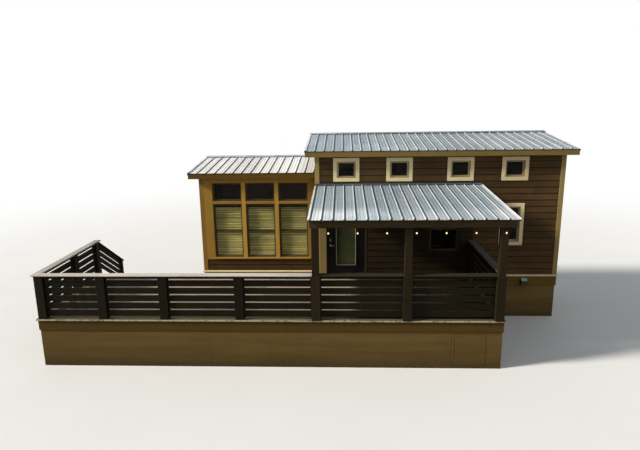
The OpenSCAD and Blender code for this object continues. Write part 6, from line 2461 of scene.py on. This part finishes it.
class TINYHOUSE_OT_steps(bpy.types.Operator):
    """Build the back steps"""

    bl_idname = "tinyhouse.steps"
    bl_label = "Steps"

    def execute(self, context):
        build_steps()
        return {"FINISHED"}


class TINYHOUSE_OT_porch(bpy.types.Operator):
    """Build the porch timbers and lamps"""

    bl_idname = "tinyhouse.porch"
    bl_label = "Porch"

    def execute(self, context):
        build_porch()
        return {"FINISHED"}


class TINYHOUSE_OT_windows(bpy.types.Operator):
    """Build window frames and blinds"""

    bl_idname = "tinyhouse.windows"
    bl_label = "Windows"

    def execute(self, context):
        build_windows(context.scene.tinyhouse_sizes)
        return {"FINISHED"}


class TINYHOUSE_OT_door(bpy.types.Operator):
    """Build the door with its frame and fittings"""

    bl_idname = "tinyhouse.door"
    bl_label = "Door"

    def execute(self, context):
        build_door(context.scene.tinyhouse_sizes)
        return {"FINISHED"}


class TINYHOUSE_OT_stage(bpy.types.Operator):
    """Set up the floor, light and camera"""

    bl_idname = "tinyhouse.stage"
    bl_label = "Stage"

    def execute(self, context):
        build_stage(context.scene.tinyhouse_look)
        return {"FINISHED"}


OPERATORS = (
    TINYHOUSE_OT_materials, TINYHOUSE_OT_skirts, TINYHOUSE_OT_siding, TINYHOUSE_OT_trim, TINYHOUSE_OT_roofs,
    TINYHOUSE_OT_deck, TINYHOUSE_OT_railing, TINYHOUSE_OT_steps, TINYHOUSE_OT_porch, TINYHOUSE_OT_windows,
    TINYHOUSE_OT_door, TINYHOUSE_OT_stage,
)


class TINYHOUSE_PT_panel(bpy.types.Panel):
    bl_label = "Tiny house"
    bl_idname = "TINYHOUSE_PT_panel"
    bl_space_type = "VIEW_3D"
    bl_region_type = "UI"
    bl_category = "Tiny house"

    def draw(self, context):
        for item in OPERATORS:
            self.layout.operator(item.bl_idname)


CLASSES = (TINYHOUSE_PG_sizes, TINYHOUSE_PG_look, *OPERATORS, TINYHOUSE_PT_panel)


def register():
    for item in CLASSES:
        bpy.utils.register_class(item)
    bpy.types.Scene.tinyhouse_sizes = bpy.props.PointerProperty(type=TINYHOUSE_PG_sizes)
    bpy.types.Scene.tinyhouse_look = bpy.props.PointerProperty(type=TINYHOUSE_PG_look)


def unregister():
    del bpy.types.Scene.tinyhouse_look
    del bpy.types.Scene.tinyhouse_sizes
    for item in reversed(CLASSES):
        bpy.utils.unregister_class(item)


def main():
    register()
    bpy.ops.tinyhouse.materials()
    bpy.ops.tinyhouse.skirts()
    bpy.ops.tinyhouse.siding()
    bpy.ops.tinyhouse.trim()
    bpy.ops.tinyhouse.roofs()
    bpy.ops.tinyhouse.deck()
    bpy.ops.tinyhouse.railing()
    bpy.ops.tinyhouse.steps()
    bpy.ops.tinyhouse.porch()
    bpy.ops.tinyhouse.windows()
    bpy.ops.tinyhouse.door()
    bpy.ops.tinyhouse.stage()
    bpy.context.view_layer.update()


if __name__ == "__main__":
    main()
